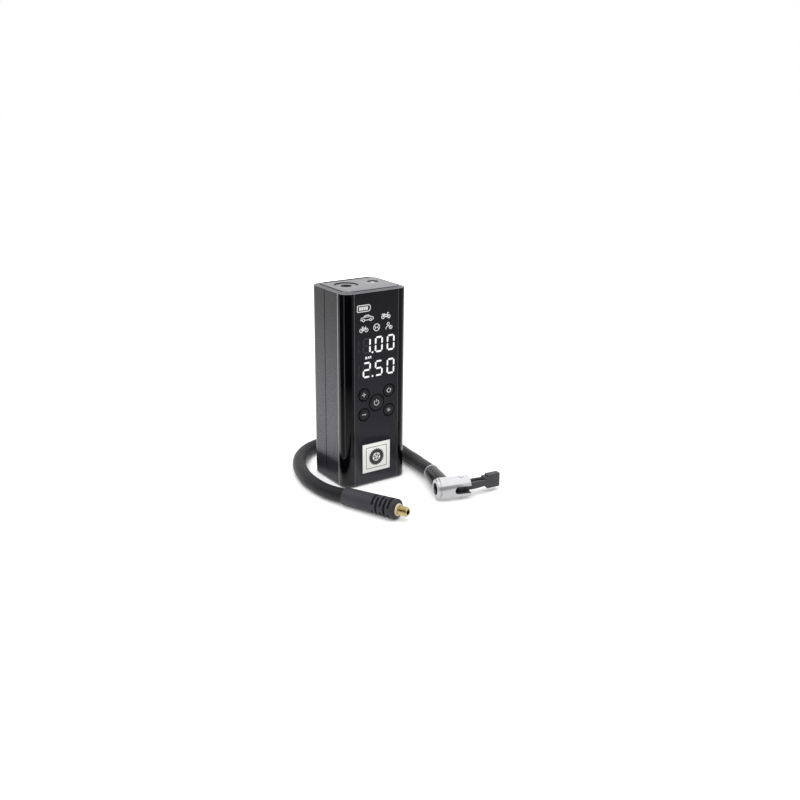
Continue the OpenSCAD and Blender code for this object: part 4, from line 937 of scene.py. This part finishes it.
def make_car_mark():
    w = 0.7
    body = [
        (-16.0, 147.4), (-15.6, 149.2), (-13.3, 149.8), (-11.4, 151.5), (-8.0, 151.6), (-5.6, 149.9),
        (-3.2, 149.3), (-2.8, 147.4),
    ]
    parts = polyline(body, w)
    parts += polyline([(-16.0, 147.4), (-14.9, 147.2)], w) + polyline([(-11.5, 147.2), (-7.3, 147.2)], w)
    parts += polyline([(-3.9, 147.2), (-2.8, 147.4)], w)
    parts += arc(-13.2, 147.2, 1.15, w, 0, 360, 16) + arc(-5.6, 147.2, 1.15, w, 0, 360, 16)
    parts += polyline([(-12.3, 149.8), (-11.0, 150.7), (-8.3, 150.7), (-6.9, 149.8), (-12.3, 149.8)], 0.45)
    icon("car_mark", parts, 0.93)


def make_motorcycle_mark():
    w = 0.85
    parts = arc(5.9, 147.6, 1.5, w, 0, 360, 18) + arc(12.4, 147.6, 1.5, w, 0, 360, 18)
    parts += polyline([(5.9, 147.6), (7.6, 149.9), (10.6, 149.7), (12.4, 147.6)], w)
    parts += polyline([(7.6, 149.9), (8.6, 147.6), (10.2, 147.6), (10.6, 149.7)], w)
    parts += polyline([(10.6, 149.7), (11.2, 151.2), (12.2, 151.2)], w)
    parts += polyline([(4.9, 150.3), (7.6, 150.4)], 1.0)
    icon("motorcycle_mark", parts, 0.88)


def make_bicycle_mark():
    w = 0.75
    parts = arc(-15.6, 138.7, 1.8, w, 0, 360, 20) + arc(-9.6, 138.7, 1.8, w, 0, 360, 20)
    parts += polyline([(-15.6, 138.7), (-14.1, 141.1), (-10.6, 141.1), (-9.6, 138.7)], w)
    parts += polyline([(-14.1, 141.1), (-12.7, 138.7), (-10.6, 141.1)], w)
    parts += polyline([(-15.6, 138.7), (-12.7, 138.7)], w)
    parts += polyline([(-14.9, 142.2), (-13.4, 142.2)], 0.8) + polyline([(-10.9, 142.6), (-10.3, 142.0)], 0.6)
    icon("bicycle_mark", parts, 0.85)


def make_ball_mark():
    parts = arc(0, 139.8, 3.1, 0.7, 0, 360, 32) + [bar(-1.4, 139.8, 1.4, 139.8, 0.6)]
    parts += arc(-3.4, 139.8, 2.1, 0.6, -55, 55, 10) + arc(3.4, 139.8, 2.1, 0.6, 125, 235, 10)
    icon("ball_mark", parts, 0.95)


def make_person_mark():
    w = 0.75
    parts = arc(11.5, 141.5, 1.25, w, 0, 360, 16)
    parts += polyline([(8.8, 136.8), (9.6, 138.8), (11.0, 139.6)], w)
    parts += polyline([(12.0, 139.6), (13.0, 139.1)], w)
    parts += arc(14.2, 138.0, 1.55, w, 0, 360, 16)
    parts += [bar(13.4, 138.0, 15.0, 138.0, 0.5), bar(14.2, 137.2, 14.2, 138.8, 0.5)]
    icon("person_mark", parts, 0.9)


def key_mark(name, shapes):
    face_mark(f"{name}_mark", f"button_{name}", shapes, icon_grey, f"button_{name}")


def make_key_marks():
    """Printed signs on the five keys."""
    key_mark("plus", [bar(-1.9, 0, 1.9, 0, 0.75), bar(0, -1.9, 0, 1.9, 0.75)])
    key_mark("minus", [bar(-1.9, 0, 1.9, 0, 0.7)])
    key_mark("power", arc(0, -0.1, 2.3, 0.6, 125, 415, 30) + [bar(0, 0.7, 0, 3.0, 0.6)])
    parts = arc(0, 0, 1.8, 0.5, 20, 160, 14) + arc(0, 0, 1.8, 0.5, 200, 340, 14)
    for side in (-1, 1):
        tip_x, base_z = side * 1.8, side * 0.6
        parts.append([(tip_x - 0.9, base_z), (tip_x + 0.9, base_z), (tip_x, -base_z)])
    key_mark("mode", parts)
    parts = [disc(0, 0, 0.8)]
    for x, z in circle(1, 8):
        parts.append(bar(1.3 * x, 1.3 * z, 1.9 * x, 1.9 * z, 0.35))
    key_mark("light", parts)


def make_key_gap_shade():
    """Painted shade: a dark ring round each key, where the gap round the key lies in shadow."""
    parts = []
    for key in KEYS:
        low, high = (corner / MM for corner in box(f"button_{key}"))
        middle, radius = (low + high) / 2, (high.x - low.x) / 2 - RING_INSET
        parts += arc(middle.x, middle.z, radius, RING_WIDTH, 0, 360, 48)
    flat_mark("key_shade_rings", parts, painted_shade_black, panel_face + RING_SINK)


def rounded_outline(low, high, radius, grow, steps=8):
    """Outline of a rounded rectangle in plan, grown by a margin, in metres."""
    points = []
    corners = ((high.x, high.y, 0), (low.x, high.y, 90), (low.x, low.y, 180), (high.x, low.y, 270))
    for x, y, start in corners:
        inner_x = x - radius if x == high.x else x + radius
        inner_y = y - radius if y == high.y else y + radius
        for k in range(steps + 1):
            a = math.radians(start + 90 * k / steps)
            points.append((inner_x + (radius + grow) * math.cos(a), inner_y + (radius + grow) * math.sin(a)))
    return points


def make_plate_groove():
    """Painted shade: a dark strip between the plate and the rim round it, where their joint lies in shadow.
    """
    top = cap_top + 0.02 * MM
    work = bmesh.new()
    rows = []
    for grow, drop in ((0, 0), (GROOVE_FLAT, 0), (GROOVE_WIDTH, GROOVE_DROP)):
        outline = rounded_outline(plate_low, plate_high, PLATE_RADIUS, grow)
        rows.append([work.verts.new((x, y, top - drop)) for x, y in outline])
    for inner, outer in zip(rows, rows[1:]):
        join_rows(work, outer, inner)
    bmesh.ops.solidify(work, geom=work.faces[:], thickness=MARK_DEPTH)
    add_piece("plate_gap_shade", from_bmesh("plate_gap_shade", work), groove_black)


def make_vent_mouths():
    """Painted shade: a dark frame round each air slot, which makes the slot read larger and darker."""
    work = bmesh.new()
    back = plate_high.y - VENT_INSET
    front = back - VENT_SIZE[1]
    shade_back = plate_high.y - VENT_SHADE_INSET
    shade_front = shade_back - VENT_SHADE_SIZE[1]
    half, half_shade = VENT_SIZE[0] / 2, VENT_SHADE_SIZE[0] / 2
    strips = (
        (-half_shade, shade_front, half_shade, front), (-half_shade, back, half_shade, shade_back),
        (-half_shade, front, -half, back), (half, front, half_shade, back),
    )
    for k in range(VENT_COUNT):
        x = (plate_low.x + plate_high.x) / 2 + (k - (VENT_COUNT - 1) / 2) * VENT_PITCH
        for x0, y0, x1, y1 in strips:
            middle = Vector((x + (x0 + x1) / 2, (y0 + y1) / 2, plate_high.z + MARK_DEPTH / 2))
            size = Matrix.Diagonal((x1 - x0, y1 - y0, MARK_DEPTH, 1))
            bmesh.ops.create_cube(work, size=1, matrix=Matrix.Translation(middle) @ size)
    add_piece("vent_shade", from_bmesh("vent_shade", work), painted_shade_black)


def make_badge_mark():
    """A plain tyre seen from the side, in a thin frame."""
    half_w, half_h = 10.4, 9.6
    parts = []
    for side in (-1, 1):
        parts.append(bar(-half_w, side * half_h, half_w, side * half_h, 0.45))
        parts.append(bar(side * half_w, -half_h, side * half_w, half_h, 0.45))
    parts += arc(0, 0, 5.4, 3.0, 0, 360, 48) + arc(0, 0, 2.3, 0.6, 0, 360, 32)
    for x, z in circle(1, 24):
        parts.append(bar(6.8 * x, 6.8 * z, 7.7 * x, 7.7 * z, 1.1))
    for x, z in circle(1, 5):
        parts.append(bar(-0.6 * z, 0.6 * x, -3.9 * z, 3.9 * x, 0.7))
    face_mark("badge_mark", "badge_plate", parts, badge_ink)


make_readings()
make_unit()
make_battery_mark()
make_car_mark()
make_motorcycle_mark()
make_bicycle_mark()
make_ball_mark()
make_person_mark()
make_key_marks()
make_key_gap_shade()
make_badge_mark()
make_plate_groove()
make_vent_mouths()


# ---------- lamp ----------

SPOT_WIDE, SPOT_NARROW, SPOT_DEPTH, SPOT_LIFT = 1.5 * MM, 1.2 * MM, 0.3 * MM, 0.1 * MM


def make_lamp_glow():
    """The lamp's small bright spot, on the middle of the lens."""
    low, high = box("lamp_lens")
    x, y = (low.x + high.x) / 2, (low.y + high.y) / 2
    work = bmesh.new()
    bmesh.ops.create_cone(
        work, cap_ends=True, segments=32, radius1=SPOT_WIDE, radius2=SPOT_NARROW, depth=SPOT_DEPTH
    )
    mesh = from_bmesh("lamp_emitter", work)
    mesh.transform(Matrix.Translation((x, y, high.z + SPOT_LIFT)))
    shade_smooth(mesh)
    add_piece("lamp_emitter", mesh, glow_lamp)


make_lamp_glow()


# ---------- studio ----------

FLOOR_TONE, FLOOR_LIFT = 0.90, 0.10
WORLD_LEVEL, WORLD_MIRRORED = 0.55, 0.85
FLOOR_HALF, FLOOR_WHITE_FROM, FLOOR_WHITE_AT = 6.0, 0.3, 0.9
CARD_RING, CARD_TOP, CARD_STEP = 0.30, 0.20, 6
FLAG_NEAR, FLAG_LIFT = 0.05, 0.0005
card_middle = Vector((cover_low.x + 4 * MM, cover_low.y + 4 * MM, 0))


def make_floor():
    """Pale floor that keeps the shadows, white where nothing shades it and far from the part."""
    paint = Paint("floor_white", (FLOOR_TONE, FLOOR_TONE, FLOOR_TONE), 0.9)
    rays = paint.node("ShaderNodeLightPath")
    away = paint.node("ShaderNodeVectorMath", operation="LENGTH")
    paint.link(paint.place(), away.inputs[0])
    lift = paint.spread(away.outputs["Value"], FLOOR_WHITE_FROM, FLOOR_WHITE_AT, FLOOR_LIFT, 1)
    seen = paint.math("MAXIMUM", rays.outputs["Is Camera Ray"], rays.outputs["Is Transmission Ray"])
    glossy = paint.math("MULTIPLY", rays.outputs["Is Glossy Ray"], FLOOR_LIFT)
    glow = paint.node("ShaderNodeEmission")
    glow.inputs["Color"].default_value = (1, 1, 1, 1)
    paint.link(paint.math("MAXIMUM", paint.math("MULTIPLY", seen, lift), glossy), glow.inputs["Strength"])
    both = paint.node("ShaderNodeAddShader")
    paint.link(paint.shader.outputs[0], both.inputs[0])
    paint.link(glow.outputs[0], both.inputs[1])
    paint.link(both.outputs[0], paint.out.inputs["Surface"])
    paint.bump(paint.noise(0.004, 2), 0.00002)
    mesh = bpy.data.meshes.new("floor")
    corners = [(x * FLOOR_HALF, y * FLOOR_HALF, 0) for x, y in ((-1, -1), (1, -1), (1, 1), (-1, 1))]
    mesh.from_pydata(corners, [], [(0, 1, 2, 3)])
    floor = add_object("floor", mesh)
    finish(floor, paint.material)


def make_world():
    """White surroundings: full where seen straight on, weaker in mirrors, weakest as light."""
    world = bpy.data.worlds.new("studio")
    bpy.context.scene.world = world
    graph = Graph(world)
    out = graph.node("ShaderNodeOutputWorld")
    background = graph.node("ShaderNodeBackground")
    rays = graph.node("ShaderNodeLightPath")
    direct = graph.math("MAXIMUM", rays.outputs["Is Camera Ray"], rays.outputs["Is Transmission Ray"])
    mirrored = graph.math("MULTIPLY", rays.outputs["Is Glossy Ray"], WORLD_MIRRORED)
    strength = graph.math("MAXIMUM", graph.math("MAXIMUM", direct, mirrored), WORLD_LEVEL)
    graph.link(strength, background.inputs["Strength"])
    background.inputs["Color"].default_value = (1, 1, 1, 1)
    graph.link(background.outputs[0], out.inputs["Surface"])


def area_light(name, place, aim, size, watts):
    """Square light that shows in no mirror."""
    data = bpy.data.lights.new(name, "AREA")
    data.size = size
    data.energy = watts
    light = add_object(name, data)
    light.location = place
    light.rotation_mode = "QUATERNION"
    light.rotation_quaternion = (Vector(aim) - Vector(place)).to_track_quat("-Z", "Y")
    light.visible_camera = False
    light.visible_glossy = False


def card_material(name, reach, glow):
    """Light that changes between two strengths over a reach of distances from card_middle."""
    material = bpy.data.materials.new(name)
    graph = Graph(material)
    out = graph.node("ShaderNodeOutputMaterial")
    light = graph.node("ShaderNodeEmission")
    light.inputs["Color"].default_value = (1, 1, 1, 1)
    light.inputs["Strength"].default_value = glow[0]
    graph.link(light.outputs[0], out.inputs["Surface"])
    if glow[0] != glow[1]:
        away = graph.node("ShaderNodeVectorMath", operation="DISTANCE")
        away.inputs[1].default_value = card_middle
        graph.link(graph.place(), away.inputs[0])
        graph.link(graph.spread(away.outputs["Value"], *reach, *glow), light.inputs["Strength"])
    return material


def card(name, azimuth, width_deg, foot, head, glow):
    """Studio card round the case from foot to head, each (radius, height), seen only in reflections."""
    steps = max(2, int(width_deg / CARD_STEP))
    work = bmesh.new()
    columns = []
    for k in range(steps + 1):
        a = math.radians(azimuth - width_deg / 2 + width_deg * k / steps)
        outward = Vector((-math.sin(a), -math.cos(a), 0))
        columns.append([
            work.verts.new(card_middle + radius * outward + Vector((0, 0, height)))
            for radius, height in (foot, head)
        ])
    for (a, b), (c, d) in zip(columns, columns[1:]):
        work.faces.new((a, c, d, b))
    piece = add_object(name, from_bmesh(name, work))
    finish(piece, card_material(name, (foot[0], head[0]), glow))
    for kind in ("camera", "diffuse", "transmission", "shadow", "volume_scatter"):
        setattr(piece, f"visible_{kind}", False)


def card_pair(name, azimuth, width_deg, upright_glow, floor_glow):
    """An upright card, and a flat one that carries it on over the floor towards the case."""
    upright = (upright_glow, upright_glow)
    card(f"card_{name}", azimuth, width_deg, (CARD_RING, 0), (CARD_RING, CARD_TOP), upright)
    card(f"flag_{name}", azimuth, width_deg, (FLAG_NEAR, FLAG_LIFT), (CARD_RING, FLAG_LIFT), floor_glow)


make_floor()
make_world()
area_light("key", (-0.9, -0.5, 1.5), (0, 0, 0.05), 1.2, 14)
area_light("fill", (1.0, -0.9, 1.0), (0, 0, 0.05), 1.2, 5)
area_light("top", (0.1, 0.2, 1.6), (0, 0, 0), 1.8, 22)
card_pair("front", 22, 84, 0.0, (0.8, 0.1))
card_pair("right", -48, 56, 0.42, (0.6, 0.42))
card_pair("strip", 73, 5, 1.6, (1.3, 1.6))
card_pair("left", 106, 56, 0.03, (0.5, 0.1))

bpy.context.scene.view_settings.view_transform = "Standard"
